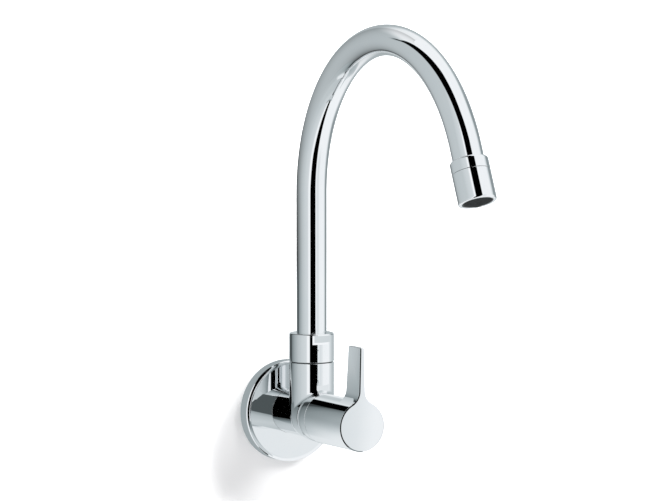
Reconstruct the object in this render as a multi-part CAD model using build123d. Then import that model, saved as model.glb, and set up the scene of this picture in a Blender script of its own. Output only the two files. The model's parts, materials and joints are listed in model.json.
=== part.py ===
from build123d import *

import os
from math import cos, hypot, radians, sin

# Wall faucet with a swivelling arch spout and a single lever, in millimetres.
#
# X runs to the right for a person facing the wall, -Y out of the wall and +Z up. The
# origin is the centre of the inlet where it meets the finished wall. Turned pieces are
# drawn as (radius, height) profiles about Z and then laid on their own axis: the level
# axis of inlet and lever, the upright axis of the spout's foot, or the outlet's axis.

# ---------------------------------------------------------------- driving dimensions
TUBE_OD = 22.0
TUBE_WALL = 1.5
BODY_OD = 32.5
HUB_OD = 36.1
FLANGE_OD = 74.0
FLANGE_DEPTH = 10.0
FLANGE_EDGE = 2.5

SWIVEL_OFFSET = 40.0
SWIVEL_SEAM = 39.5
COLLAR_TOP = 60.3
ARC_START = 161.3
ARC_RADIUS = 114.0
OUTLET_TILT = 24.0

RING_START = 10.4
RING_END = 19.2
OUTLET_END = 41.0
OUTLET_OD = 26.8

BELL_START = 39.0
BELL_FULL = 57.0
HUB_SEAM = 62.2
LEVER_BACK = 96.1
LEVER_FRONT = 115.3
LEVER_TOP = 56.5
STEM_TOP_WIDTH = 3.4
STEM_FOOT_WIDTH = 4.8
STEM_FOOT = 26.0
STEM_BLEND = 11.0
STEM_BACK_TAPER = 2.2

INLET_R = 10.48
INLET_TAIL = 16.0
TIP_CHAMFER = 1.0

NECK_R = 12.3
NECK_TOP = 52.0
HEADPART_R = 12.0
HEX_FLATS = 24.0
SPINDLE_R = 5.0
SPLINE_R = 4.0
SPLINE_COUNT = 12

RUN = 0.06
FIT = 0.05
SEAM = 0.4
SEAM_EDGE = 0.15

BODY_R = BODY_OD / 2
HUB_R = HUB_OD / 2
TUBE_R = TUBE_OD / 2
OUTLET_R = OUTLET_OD / 2

# ------------------------------------------------------------------------- placements
LEVEL = Rot(90, 0, 0)
UPRIGHT = Pos(0, -SWIVEL_OFFSET, 0)
SIDE = Plane(origin=(0, 0, 0), x_dir=(0, -1, 0), z_dir=(-1, 0, 0))


def outlet_place():
    """Location at the end of the spout's arc, with Z along the straight outlet."""
    tilt = radians(OUTLET_TILT)
    out = SWIVEL_OFFSET + ARC_RADIUS + ARC_RADIUS * cos(tilt)
    up = ARC_START + ARC_RADIUS * sin(tilt)
    along = (0, -sin(tilt), -cos(tilt))
    return Plane(origin=(0, -out, up), x_dir=(1, 0, 0), z_dir=along).location


OUTLET = outlet_place()


# ------------------------------------------------------------------------ form helpers
def turned(*profile):
    """Solid of revolution about Z from the (radius, height) corners of its section."""
    corners = [(radius, 0, height) for radius, height in profile]
    return revolve(make_face(Polyline(*corners, close=True)), Axis.Z)


def tube(outer, inner, low, high):
    """Plain turned ring or tube between two heights."""
    return turned((inner, low), (outer, low), (outer, high), (inner, high))


def rod(radius, low, high):
    """Plain turned rod between two heights."""
    return Pos(0, 0, low) * Cylinder(radius, high - low, align=(Align.CENTER, Align.CENTER, Align.MIN))


def o_ring(radius, cord, height):
    """Seated rubber ring: an eight-sided cord turned about Z, flat where it is squeezed."""
    section = Plane.XZ * Pos(radius, height) * RegularPolygon(cord, 8, major_radius=False, rotation=22.5)
    return revolve(section, Axis.Z)


def ring_edges(shape, radius, height, slack=0.01):
    """Circular edges of a turned shape with this radius at this height on Z."""
    edges = shape.edges().filter_by(GeomType.CIRCLE)
    return [
        edge
        for edge in edges
        if abs(edge.radius - radius) < slack and abs(edge.arc_center.Z - height) < slack
    ]


def spline_section(grow=0.0):
    """Round section with evenly spaced grooves, grown outwards for the mating piece."""
    groove = Circle(0.5 - grow)
    grooves = PolarLocations(SPLINE_R + 0.1 + grow, SPLINE_COUNT) * groove
    return Circle(SPLINE_R + grow) - grooves


def hexagon(flats, low, high):
    """Hexagonal prism about Z, measured across its flats."""
    section = RegularPolygon(flats / 2, 6, major_radius=False)
    return Pos(0, 0, low) * extrude(section, high - low)


# -------------------------------------------------------------------------- wall cover
FLANGE_BORE = BODY_R + 0.1
FLANGE_PLATE = 2.0
FLANGE_O_RING = (BODY_R + 0.84, 0.8, 5.6)


def wall_flange():
    """Hollow round cover: thin face, thin rim and a collar that slides on the barrel."""
    rim = FLANGE_OD / 2
    under = FLANGE_DEPTH - FLANGE_PLATE
    radius, cord, height = FLANGE_O_RING
    groove_top = height + cord + 0.1
    groove_low = height - cord - 0.1
    shell = turned(
        (rim, 0),
        (rim, FLANGE_DEPTH),
        (FLANGE_BORE, FLANGE_DEPTH),
        (FLANGE_BORE, groove_top),
        (radius + cord + 0.1, groove_top),
        (radius + cord + 0.1, groove_low),
        (FLANGE_BORE, groove_low),
        (FLANGE_BORE, 2.0),
        (FLANGE_BORE + 3.6, 2.0),
        (FLANGE_BORE + 3.6, under),
        (rim - FLANGE_PLATE, under),
        (rim - FLANGE_PLATE, 0),
    )
    shell = fillet(ring_edges(shell, rim, FLANGE_DEPTH), FLANGE_EDGE)
    shell = chamfer(ring_edges(shell, rim - FLANGE_PLATE, under), 1.2)
    return LEVEL * chamfer(ring_edges(shell, FLANGE_BORE, FLANGE_DEPTH), SEAM_EDGE)


def flange_o_ring():
    return LEVEL * o_ring(*FLANGE_O_RING)


def flange_gasket():
    outer = FLANGE_OD / 2 - FLANGE_PLATE - FIT
    return LEVEL * tube(outer, outer - 4.5, FIT, 3.0)


# -------------------------------------------------------------------------- valve body
BARREL_BACK = 0.6
INLET_SOCKET = 14.0
WATERWAY_R = 5.5
SEAT = 49.0
CHAMBER = (13.2, 51.0, 60.0)
SPIGOT_R = 15.0
SPIGOT_END = 68.0
NIPPLE_SEAL = (10.6, 0.95, 1.75)
NECK_BORE_R = 6.5
NECK_BORE_FLOOR = 7.5
NECK_SEALS = (42.4, 50.0)
NECK_SEAL_CORD = 0.9
LOCK_HEIGHT = 46.2
LOCK_GROOVE_R = 11.1
LOCK_GROOVE = 1.35
TRANSFER = (9.9, 2.8, 28.0)
GROOVE_DEPTH = 0.55
CREASE_BLEND = 3.0


def body_envelope():
    """Outside of the level part: barrel, fine groove, bell that swells to the hub's size."""
    bell_front = HUB_SEAM - SEAM / 2
    barrel = Polyline(
        (0, 0, BARREL_BACK),
        (BODY_R, 0, BARREL_BACK),
        (BODY_R, 0, BELL_START - 0.7),
        (BODY_R - GROOVE_DEPTH, 0, BELL_START - 0.35),
        (BODY_R, 0, BELL_START),
    )
    swell = TangentArc((HUB_R, 0, BELL_FULL), (BODY_R, 0, BELL_START), tangent=(0, 0, -1))
    front = Polyline(
        (HUB_R, 0, BELL_FULL),
        (HUB_R, 0, bell_front - SEAM_EDGE),
        (HUB_R - SEAM_EDGE, 0, bell_front),
        (SPIGOT_R, 0, bell_front),
        (SPIGOT_R, 0, SPIGOT_END),
        (0, 0, SPIGOT_END),
        (0, 0, BARREL_BACK),
    )
    section = make_face([*barrel.edges(), *swell.edges(), *front.edges()])
    return revolve(section, Axis.Z)


def neck():
    """Turned neck for the swivel, with grooves for two seals and the locking screw."""
    seat = SWIVEL_SEAM - SEAM
    groove_r = NECK_R - 2 * NECK_SEAL_CORD
    blank = rod(NECK_R, seat - 1.0, NECK_TOP)
    blank = chamfer(ring_edges(blank, NECK_R, NECK_TOP), 0.5)
    for height in NECK_SEALS:
        half = NECK_SEAL_CORD + 0.15
        blank -= tube(NECK_R + 1, groove_r, height - half, height + half)
    return blank - tube(NECK_R + 1, LOCK_GROOVE_R, LOCK_HEIGHT - LOCK_GROOVE, LOCK_HEIGHT + LOCK_GROOVE)


def body_cavities():
    """Inlet socket, waterway, headpart seat and threaded mouth along the level axis."""
    chamber_r, chamber_low, chamber_high = CHAMBER
    seal_r, seal_cord, seal_at = NIPPLE_SEAL
    cavity = rod(WATERWAY_R, INLET_SOCKET - 1, SEAT + 1)
    cavity += rod(INLET_R + FIT, BARREL_BACK - 1, INLET_SOCKET)
    cavity += rod(seal_r + seal_cord + FIT, BARREL_BACK - 1, seal_at + seal_cord + 0.2)
    cavity += rod(HEADPART_R + FIT, SEAT, SPIGOT_END + 1)
    cavity += rod(chamber_r, chamber_low, chamber_high)
    ring_seal_r, ring_seal_cord, ring_seal_at = HEADPART_SEAL
    cavity += rod(ring_seal_r + ring_seal_cord + FIT, ring_seal_at - ring_seal_cord - 0.1, SPIGOT_END + 1)
    ring_r, hole_r, spread = TRANSFER
    for turn in (-spread, 0, spread):
        place = Rot(0, 0, 90 + turn) * Pos(ring_r, 0, 0)
        cavity += place * rod(hole_r, SWIVEL_OFFSET, chamber_low + 1)
    return cavity


def valve_body():
    """Cast body: level barrel and bell, upright boss mitred into them, swivel neck."""
    boss_top = SWIVEL_SEAM - SEAM
    boss = rod(BODY_R, 0, boss_top)
    boss = chamfer(ring_edges(boss, BODY_R, boss_top), 2 * SEAM_EDGE)
    body = LEVEL * body_envelope() + UPRIGHT * boss
    body = blend_crease(body)
    body += UPRIGHT * neck()
    body -= LEVEL * body_cavities()
    return body - UPRIGHT * rod(NECK_BORE_R, NECK_BORE_FLOOR, NECK_TOP + 1)


def blend_crease(body):
    """Soft inside radius where the upright boss runs into the top of the bell."""
    crease = body.edges().filter_by(GeomType.BSPLINE).sort_by(Axis.Y)[0]
    return fillet(crease, CREASE_BLEND)


# ------------------------------------------------------------------------ inlet pieces
STRAINER = (8.0, 0.5)


def inlet_nipple():
    """Threaded nipple: tail into the wall, relief for the seal, hexagon for fitting."""
    seal_r, seal_cord, seal_at = NIPPLE_SEAL
    relief = seal_r - seal_cord - FIT
    strainer_r, strainer_t = STRAINER
    end = INLET_SOCKET - 0.5
    blank = turned(
        (6.4, -INLET_TAIL + 1.2),
        (strainer_r + FIT, -INLET_TAIL + 1.2),
        (strainer_r + FIT, -INLET_TAIL),
        (INLET_R - TIP_CHAMFER, -INLET_TAIL),
        (INLET_R, -INLET_TAIL + TIP_CHAMFER),
        (INLET_R, 0),
        (relief, 0),
        (relief, seal_at + seal_cord + 0.3),
        (INLET_R, seal_at + seal_cord + 0.3),
        (INLET_R, end),
        (6.4, end),
    )
    return LEVEL * (blank - hexagon(14.0, end - 7.0, end + 1))


def nipple_o_ring():
    return LEVEL * o_ring(*NIPPLE_SEAL)


def inlet_strainer():
    """Thin disc with rings of fine holes, set in the nipple's wall end."""
    radius, thickness = STRAINER
    low = -INLET_TAIL + 1.2 - thickness
    disc = rod(radius, low, low + thickness)
    for count, ring in ((6, 2.2), (12, 4.4)):
        for place in PolarLocations(ring, count):
            disc -= place * hexagon(1.2, low - 1, low + thickness + 1)
    return LEVEL * disc


# ---------------------------------------------------------------------------- headpart
DISC_R = 9.5
FIXED_DISC = (53.0, 56.0)
MOVING_DISC = (56.05, 58.8)
SPINDLE_FLANGE = (59.0, 62.4)
HOUSING_BACK = 52.0
HOUSING_STEP = 63.6
HOUSING_HEX = (68.2, 73.6)
HOUSING_FRONT = 84.0
SPINDLE_END = 96.0
HEADPART_SEAL = (12.85, 0.75, 67.1)
CIRCLIP = (84.1, 84.9)
CIRCLIP_OD = 12.8
CIRCLIP_GROOVE_R = 4.2
SPINDLE_SEALS = (70.0, 76.0)
SPINDLE_SEAL_CORD = 0.5
NOSE_R = 9.0
WINDOW = (58.2, 9.0, 3.2)
PORT_R = 5.4
PORT_WIDTH = 3.6
PORT_HALF_TURN = 32
DRIVE_TAB = 4.0


def headpart_housing():
    """Brass housing: windows beside the discs, threaded part, hexagon and long nose."""
    outer = turned(
        (DISC_R + 0.2, HOUSING_BACK),
        (HEADPART_R - 0.6, HOUSING_BACK),
        (HEADPART_R - 0.6, CHAMBER[2]),
        (HEADPART_R, CHAMBER[2]),
        (HEADPART_R, HOUSING_HEX[0]),
        (NOSE_R, HOUSING_HEX[0]),
        (NOSE_R, HOUSING_FRONT - 0.6),
        (NOSE_R - 0.6, HOUSING_FRONT),
        (SPINDLE_R + RUN, HOUSING_FRONT),
        (SPINDLE_R + RUN, HOUSING_STEP),
        (DISC_R + 0.2, HOUSING_STEP),
    )
    hex_low, hex_high = HOUSING_HEX
    hexagon_ring = hexagon(HEX_FLATS, hex_low, hex_high) - rod(NOSE_R - 1, hex_low - 1, hex_high + 1)
    window_at, window_wide, window_deep = WINDOW
    window = Pos(0, 0, window_at) * Box(4 * HEADPART_R, window_wide, window_deep)
    return LEVEL * (outer + hexagon_ring - window)


def headpart_o_ring():
    return LEVEL * o_ring(*HEADPART_SEAL)


def base_seal():
    return LEVEL * tube(DISC_R, 6.2, SEAT + FIT, FIXED_DISC[0] - FIT)


def sector_ports(low, high):
    """Two opposite bean-shaped ports through a ceramic disc."""
    ports = Sketch()
    for turn in (0, 180):
        middle = CenterArc((0, 0), PORT_R, turn - PORT_HALF_TURN, 2 * PORT_HALF_TURN)
        bean = SlotArc(middle, PORT_WIDTH)
        ports += bean
    return Pos(0, 0, low - 1) * extrude(ports, high - low + 2)


def fixed_disc():
    return LEVEL * (rod(DISC_R, *FIXED_DISC) - sector_ports(*FIXED_DISC))


def moving_disc():
    """Disc turned by the spindle: ports across the fixed disc's while closed, and a slot."""
    low, high = MOVING_DISC
    slot = Pos(0, 0, high) * Box(DRIVE_TAB + 0.2, 2 * DISC_R + 2, 2.4)
    ports = Rot(0, 0, 90) * sector_ports(low, high)
    return LEVEL * (rod(DISC_R, low, high) - slot - ports)


def slip_ring():
    return LEVEL * tube(DISC_R + 0.1, SPINDLE_R + 0.3, SPINDLE_FLANGE[1] + FIT, HOUSING_STEP - FIT)


def headpart_spindle():
    """Spindle with drive tab, flange, two seal grooves, circlip groove and splines."""
    flange_low, flange_high = SPINDLE_FLANGE
    shaft = rod(DISC_R - 0.2, flange_low, flange_high) + rod(SPINDLE_R, flange_high, CIRCLIP[1] + 0.1)
    shaft += Pos(0, 0, flange_low - 0.4) * Box(DRIVE_TAB, 2 * DISC_R - 1.4, 1.6)
    seal_floor = SPINDLE_R + RUN - 2 * SPINDLE_SEAL_CORD - 0.16
    for height in SPINDLE_SEALS:
        half = SPINDLE_SEAL_CORD + 0.1
        shaft -= tube(SPINDLE_R + 1, seal_floor, height - half, height + half)
    shaft -= tube(SPINDLE_R + 1, CIRCLIP_GROOVE_R, CIRCLIP[0] - FIT, CIRCLIP[1] + FIT)
    splines = Pos(0, 0, CIRCLIP[1]) * extrude(spline_section(), SPINDLE_END - CIRCLIP[1])
    return LEVEL * (shaft + splines)


def spindle_o_rings():
    middle = SPINDLE_R - SPINDLE_SEAL_CORD - RUN
    rings = [o_ring(middle, SPINDLE_SEAL_CORD, height) for height in SPINDLE_SEALS]
    return LEVEL * Compound(children=rings)


def spindle_circlip():
    """Open spring clip in the spindle's groove, in front of the housing."""
    low, high = CIRCLIP
    inner = CIRCLIP_GROOVE_R + FIT
    clip = tube(CIRCLIP_OD / 2, inner, low, high) - Pos(0, -CIRCLIP_OD / 2, low) * Box(5.0, 8.0, 4.0)
    return LEVEL * clip


# ------------------------------------------------------------------------------ handle
SKIRT_BORE = 16.0
SOCKET_R = 8.0
SOCKET_START = 88.0
SOCKET_END = 98.4
SCREW_AT = 92.0
SCREW_R = 2.5
HUB_EDGE = 0.6


def handle_guide_ring():
    return LEVEL * tube(SKIRT_BORE - RUN, SPIGOT_R + FIT, HUB_SEAM + 0.2, SPIGOT_END - 0.8)


def lever_outline():
    """Front view of the lever: a disc that runs up into a slender tapering stem."""
    top = STEM_TOP_WIDTH / 2
    foot = STEM_FOOT_WIDTH / 2
    stem = make_face(
        Polyline(
            (-foot, 0),
            (foot, 0),
            (foot, STEM_FOOT),
            (top, LEVER_TOP),
            (-top, LEVER_TOP),
            (-foot, STEM_FOOT),
            close=True,
        )
    )
    outline = Circle(HUB_R) + stem
    corners = [
        vertex
        for vertex in outline.vertices()
        if abs(abs(vertex.X) - foot) < 0.01 and 0 < vertex.Y < HUB_R
    ]
    return fillet(corners, STEM_BLEND)


def stem_back_wedge():
    """Thin wedge taken off the stem's back, so that the stem is shallower at its top."""
    above = LEVER_TOP + 1
    wedge = Polyline(
        (STEM_FOOT, LEVER_BACK - 1),
        (STEM_FOOT, LEVER_BACK),
        (above, LEVER_BACK + STEM_BACK_TAPER),
        (above, LEVER_BACK - 1),
        close=True,
    )
    return extrude(Plane.YZ * make_face(wedge), HUB_R, both=True)


def lever_handle():
    """Long hollow hub whose front runs up into the lever, rounded along its edges."""
    depth = LEVER_FRONT - LEVER_BACK
    paddle = Pos(0, 0, LEVER_BACK) * extrude(lever_outline(), depth)
    paddle -= stem_back_wedge()
    paddle = fillet([edge for edge in paddle.edges() if abs(edge.center().Z - LEVER_FRONT) < 0.01], HUB_EDGE)
    back = HUB_SEAM + SEAM / 2
    skirt = turned(
        (0, back),
        (HUB_R - SEAM_EDGE, back),
        (HUB_R, back + SEAM_EDGE),
        (HUB_R, LEVER_BACK + 1),
        (0, LEVER_BACK + 1),
    )
    handle = paddle + skirt
    handle -= rod(SKIRT_BORE, back - 1, SOCKET_START)
    handle -= rod(SOCKET_R + FIT, SOCKET_START - 1, SOCKET_END)
    handle -= Pos(0, 0, SCREW_AT) * Rot(90, 0, 0) * rod(SCREW_R + FIT, 0, HUB_R + 2)
    return LEVEL * handle


def spline_adapter():
    """Plastic insert that fills the hub's socket and takes the spindle's splines."""
    blank = rod(SOCKET_R, 85.6, SOCKET_END - 0.2)
    bore = Pos(0, 0, 85.0) * extrude(spline_section(FIT), SPINDLE_END - 85.0 + 0.6)
    screw_way = Pos(0, 0, SCREW_AT) * Rot(90, 0, 0) * rod(SCREW_R + FIT, 2, SOCKET_R + 2)
    return LEVEL * (blank - bore - screw_way)


def radial_screw(height, tip, head, point_r):
    """Headless screw pointing at the axis from -Y, with a hexagon socket outside."""
    body = rod(SCREW_R, tip + 1.2, head) + rod(point_r, tip, tip + 1.3)
    body -= hexagon(2.5, head - 2.2, head + 1)
    return Pos(0, 0, height) * Rot(90, 0, 0) * body


def handle_grub_screw():
    return LEVEL * radial_screw(SCREW_AT, SPLINE_R + FIT, 13.0, 1.4)


def handle_screw_plug():
    """Small domed plug that closes the grub screw's hole, just under the surface."""
    plug = rod(SCREW_R, 14.0, HUB_R - 0.3)
    plug = fillet(ring_edges(plug, SCREW_R, HUB_R - 0.3), 0.4)
    return LEVEL * (Pos(0, 0, SCREW_AT) * Rot(90, 0, 0) * plug)


# ----------------------------------------------------------------------- swivel collar
COLLAR_EDGE = 1.2
COLLAR_BORE = NECK_R + RUN
TUBE_SEAT = 53.8


def neck_o_rings():
    middle = NECK_R - NECK_SEAL_CORD
    rings = [o_ring(middle, NECK_SEAL_CORD - 0.03, height) for height in NECK_SEALS]
    return UPRIGHT * Compound(children=rings)


def swivel_washer():
    low = SWIVEL_SEAM - SEAM + FIT
    return UPRIGHT * tube(BODY_R - 0.9, NECK_R + 0.1, low, SWIVEL_SEAM + SEAM - FIT)


def swivel_collar():
    """Collar that turns on the neck: seal bore below, socket for the tube above."""
    low = SWIVEL_SEAM + SEAM
    shell = turned(
        (COLLAR_BORE, low),
        (BODY_R, low),
        (BODY_R, COLLAR_TOP),
        (TUBE_R + FIT, COLLAR_TOP),
        (TUBE_R + FIT, TUBE_SEAT),
        (TUBE_R - TUBE_WALL, TUBE_SEAT),
        (TUBE_R - TUBE_WALL, NECK_TOP + 0.6),
        (COLLAR_BORE, NECK_TOP + 0.6),
    )
    shell = fillet(ring_edges(shell, BODY_R, COLLAR_TOP), COLLAR_EDGE)
    shell = chamfer(ring_edges(shell, BODY_R, low), 2 * SEAM_EDGE)
    screw_hole = Pos(0, 0, LOCK_HEIGHT) * Rot(-90, 0, 0) * rod(SCREW_R + FIT, NECK_R - 1, BODY_R + 2)
    return UPRIGHT * (shell - screw_hole)


def collar_grub_screw():
    """Headless screw at the back of the collar, its point in the neck's groove."""
    screw = radial_screw(0, LOCK_GROOVE_R + 0.3, BODY_R - 0.6, 1.2)
    return UPRIGHT * Pos(0, 0, LOCK_HEIGHT) * Rot(0, 0, 180) * screw


# ------------------------------------------------------------------- spout and outlet
TUBE_END = 16.2
RING_BORE_END = 16.4
THREAD_R = 11.2
THREAD_END = 26.0
SLEEVE_START = RING_END + 0.2
RING_SHOULDER = 1.6
MOUTH_R = 10.7
MOUTH_EDGE = 0.4
INSERT_FLANGE = (28.1, 29.6)
INSERT_BORE_R = 8.6
SCREEN = (40.0, 40.5)
SCREEN_PITCH = 2.0
SCREEN_WIRE = 0.5
SCREEN_FRAME = 0.9


def spout_tube():
    """Bent tube: upright leg, one wide arc and a short straight run to the outlet."""
    centre = (SWIVEL_OFFSET + ARC_RADIUS, ARC_START)
    leg = Line((SWIVEL_OFFSET, TUBE_SEAT + FIT), (SWIVEL_OFFSET, ARC_START))
    arch = CenterArc(centre, ARC_RADIUS, 180, OUTLET_TILT - 180)
    tilt = radians(OUTLET_TILT)
    arc_end = arch @ 1
    tail_end = (arc_end.X + TUBE_END * sin(tilt), arc_end.Y - TUBE_END * cos(tilt))
    tail = Line((arc_end.X, arc_end.Y), tail_end)
    route = SIDE * Wire([*leg.edges(), *arch.edges(), *tail.edges()])
    section = Circle(TUBE_R) - Circle(TUBE_R - TUBE_WALL)
    return sweep(Pos(0, -SWIVEL_OFFSET, TUBE_SEAT + FIT) * section, path=route)


def spout_end_ring():
    """Ring over the tube's end, with the outlet's thread standing out below it."""
    bore = TUBE_R + FIT
    inner = TUBE_R - TUBE_WALL
    ring = turned(
        (bore, RING_START),
        (OUTLET_R, RING_START),
        (OUTLET_R, RING_END),
        (THREAD_R, RING_END),
        (THREAD_R, THREAD_END),
        (inner, THREAD_END),
        (inner, RING_BORE_END),
        (bore, RING_BORE_END),
    )
    ring = fillet(ring_edges(ring, OUTLET_R, RING_START), RING_SHOULDER)
    return OUTLET * chamfer(ring_edges(ring, OUTLET_R, RING_END), SEAM_EDGE)


def aerator_housing():
    """Sleeve screwed on the end ring, with a shoulder inside that carries the jet core."""
    bore = THREAD_R + FIT
    shoulder = INSERT_FLANGE[1] + FIT
    sleeve = turned(
        (bore, SLEEVE_START),
        (OUTLET_R, SLEEVE_START),
        (OUTLET_R, OUTLET_END),
        (MOUTH_R, OUTLET_END),
        (MOUTH_R, shoulder),
        (bore, shoulder),
    )
    sleeve = fillet(ring_edges(sleeve, OUTLET_R, OUTLET_END), 1.2)
    sleeve = chamfer(ring_edges(sleeve, MOUTH_R, OUTLET_END), MOUTH_EDGE)
    return OUTLET * chamfer(ring_edges(sleeve, OUTLET_R, SLEEVE_START), SEAM_EDGE)


def aerator_washer():
    return OUTLET * tube(THREAD_R - 0.1, 8.4, THREAD_END + FIT, 28.0)


def aerator_insert():
    """Jet core: flange, cup with air windows and a grid of ribs across its end."""
    flange_low, flange_high = INSERT_FLANGE
    flange_r = THREAD_R - 0.1
    cup_r = MOUTH_R - 0.3
    cup_end = SCREEN[0] - FIT
    cup = turned(
        (INSERT_BORE_R, flange_low),
        (flange_r, flange_low),
        (flange_r, flange_high),
        (cup_r, flange_high),
        (cup_r, cup_end),
        (INSERT_BORE_R, cup_end),
    )
    for height in (32.5, 36.0):
        for place in PolarLocations(0, 4):
            cup -= place * Pos(cup_r, 0, height) * Box(6, 3.0, 1.8)
    span = 2 * INSERT_BORE_R + 0.4
    ribs = Pos(0, 0, 33.5) * (Box(1.2, span, 5.0) + Box(span, 1.2, 5.0))
    return OUTLET * (cup + ribs)


def aerator_screen():
    """Screen just inside the mouth: crossed wires in a thin round frame."""
    radius = MOUTH_R - FIT
    reach = radius - SCREEN_FRAME
    hole = SCREEN_PITCH - SCREEN_WIRE
    corner = hole / 2
    steps = range(-int(reach / SCREEN_PITCH) - 1, int(reach / SCREEN_PITCH) + 2)
    centres = [
        (SCREEN_PITCH * i, SCREEN_PITCH * j)
        for i in steps
        for j in steps
        if hypot(SCREEN_PITCH * abs(i) + corner, SCREEN_PITCH * abs(j) + corner) < reach
    ]
    net = Circle(radius) - Locations(*centres) * Rectangle(hole, hole)
    return OUTLET * Pos(0, 0, SCREEN[0]) * extrude(net, SCREEN[1] - SCREEN[0])


# ------------------------------------------------------------------------------- write
PIECES = (
    wall_flange,
    flange_o_ring,
    flange_gasket,
    valve_body,
    inlet_nipple,
    nipple_o_ring,
    inlet_strainer,
    headpart_housing,
    headpart_o_ring,
    base_seal,
    fixed_disc,
    moving_disc,
    slip_ring,
    headpart_spindle,
    spindle_o_rings,
    spindle_circlip,
    handle_guide_ring,
    lever_handle,
    spline_adapter,
    handle_grub_screw,
    handle_screw_plug,
    neck_o_rings,
    swivel_washer,
    swivel_collar,
    collar_grub_screw,
    spout_tube,
    spout_end_ring,
    aerator_housing,
    aerator_washer,
    aerator_insert,
    aerator_screen,
)


def main():
    os.makedirs("parts", exist_ok=True)
    for piece in PIECES:
        export_step(piece(), f"parts/{piece.__name__}.step")


main()
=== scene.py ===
"""Studio scene of a chrome wall faucet with a swivelling arch spout and a single lever.

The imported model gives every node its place. This file gives the visible pieces finer
meshes of the same shape, a finish each, and the studio in which the photograph was taken.
Sizes are in millimetres where a class draws a piece, and in metres in the scene.
"""

import json
import logging
import math
from collections.abc import Iterable, Sequence
from dataclasses import dataclass, field
from enum import Enum
from functools import cached_property

import bmesh
import bpy
from mathutils import Matrix, Vector

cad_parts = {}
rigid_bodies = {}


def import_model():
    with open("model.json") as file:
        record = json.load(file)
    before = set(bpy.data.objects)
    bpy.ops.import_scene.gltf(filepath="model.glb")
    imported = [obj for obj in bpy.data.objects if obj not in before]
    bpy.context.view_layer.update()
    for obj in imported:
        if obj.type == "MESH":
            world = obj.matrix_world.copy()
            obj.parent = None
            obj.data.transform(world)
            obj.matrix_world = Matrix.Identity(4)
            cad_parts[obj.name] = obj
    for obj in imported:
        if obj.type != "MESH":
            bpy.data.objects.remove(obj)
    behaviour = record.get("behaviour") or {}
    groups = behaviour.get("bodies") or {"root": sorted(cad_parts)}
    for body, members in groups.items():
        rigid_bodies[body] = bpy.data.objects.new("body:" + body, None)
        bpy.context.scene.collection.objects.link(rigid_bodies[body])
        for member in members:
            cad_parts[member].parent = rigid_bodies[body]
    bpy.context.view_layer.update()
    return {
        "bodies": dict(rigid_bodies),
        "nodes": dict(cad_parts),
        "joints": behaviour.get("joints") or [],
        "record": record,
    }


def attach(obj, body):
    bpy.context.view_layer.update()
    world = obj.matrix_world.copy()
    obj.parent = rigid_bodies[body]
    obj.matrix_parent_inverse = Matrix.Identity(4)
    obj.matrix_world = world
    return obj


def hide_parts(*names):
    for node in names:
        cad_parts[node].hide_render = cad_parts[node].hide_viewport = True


MM = 0.001
FULL_TURN = 2 * math.pi
log = logging.getLogger("wall_faucet")

# Driving sizes in mm that several classes share.
SWIVEL_OFFSET = 40.0
BODY_RADIUS = 16.25
HUB_RADIUS = 18.05

Socket = bpy.types.NodeSocket
Outputs = bpy.types.NodeOutputs
Value = Socket | float | tuple[float, ...]
Point2 = tuple[float, float]
Point3 = tuple[float, float, float]
Spot = tuple[Vector, Vector]
Stops = tuple[Point2, ...]
Faces = list[list[Vector]]


def grey(tone: float) -> tuple[float, float, float, float]:
    """Opaque grey of a tone."""
    return (tone, tone, tone, 1.0)


def spread(ends: Point2, steps: int) -> list[float]:
    """Values from one end to the other, in even steps."""
    return [ends[0] + (ends[1] - ends[0]) * i / steps for i in range(steps + 1)]


class Body(Enum):
    """Bodies that move as one piece."""

    BODY = "body"
    HANDLE = "handle"
    SPOUT = "spout"


class Axis(Enum):
    """Axes of the scene by the names of their outputs."""

    X = "X"
    Y = "Y"
    Z = "Z"


class Slot(Enum):
    """Finishes by the names that the record gives them."""

    CHROME = "chrome"
    RUBBER = "rubber"
    BRASS = "brass"
    STEEL = "steel"
    CERAMIC = "ceramic"
    WHITE_PLASTIC = "white_plastic"
    GREY_PLASTIC = "grey_plastic"
    BLACK_PLASTIC = "black_plastic"
    FOAM = "foam"


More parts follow.
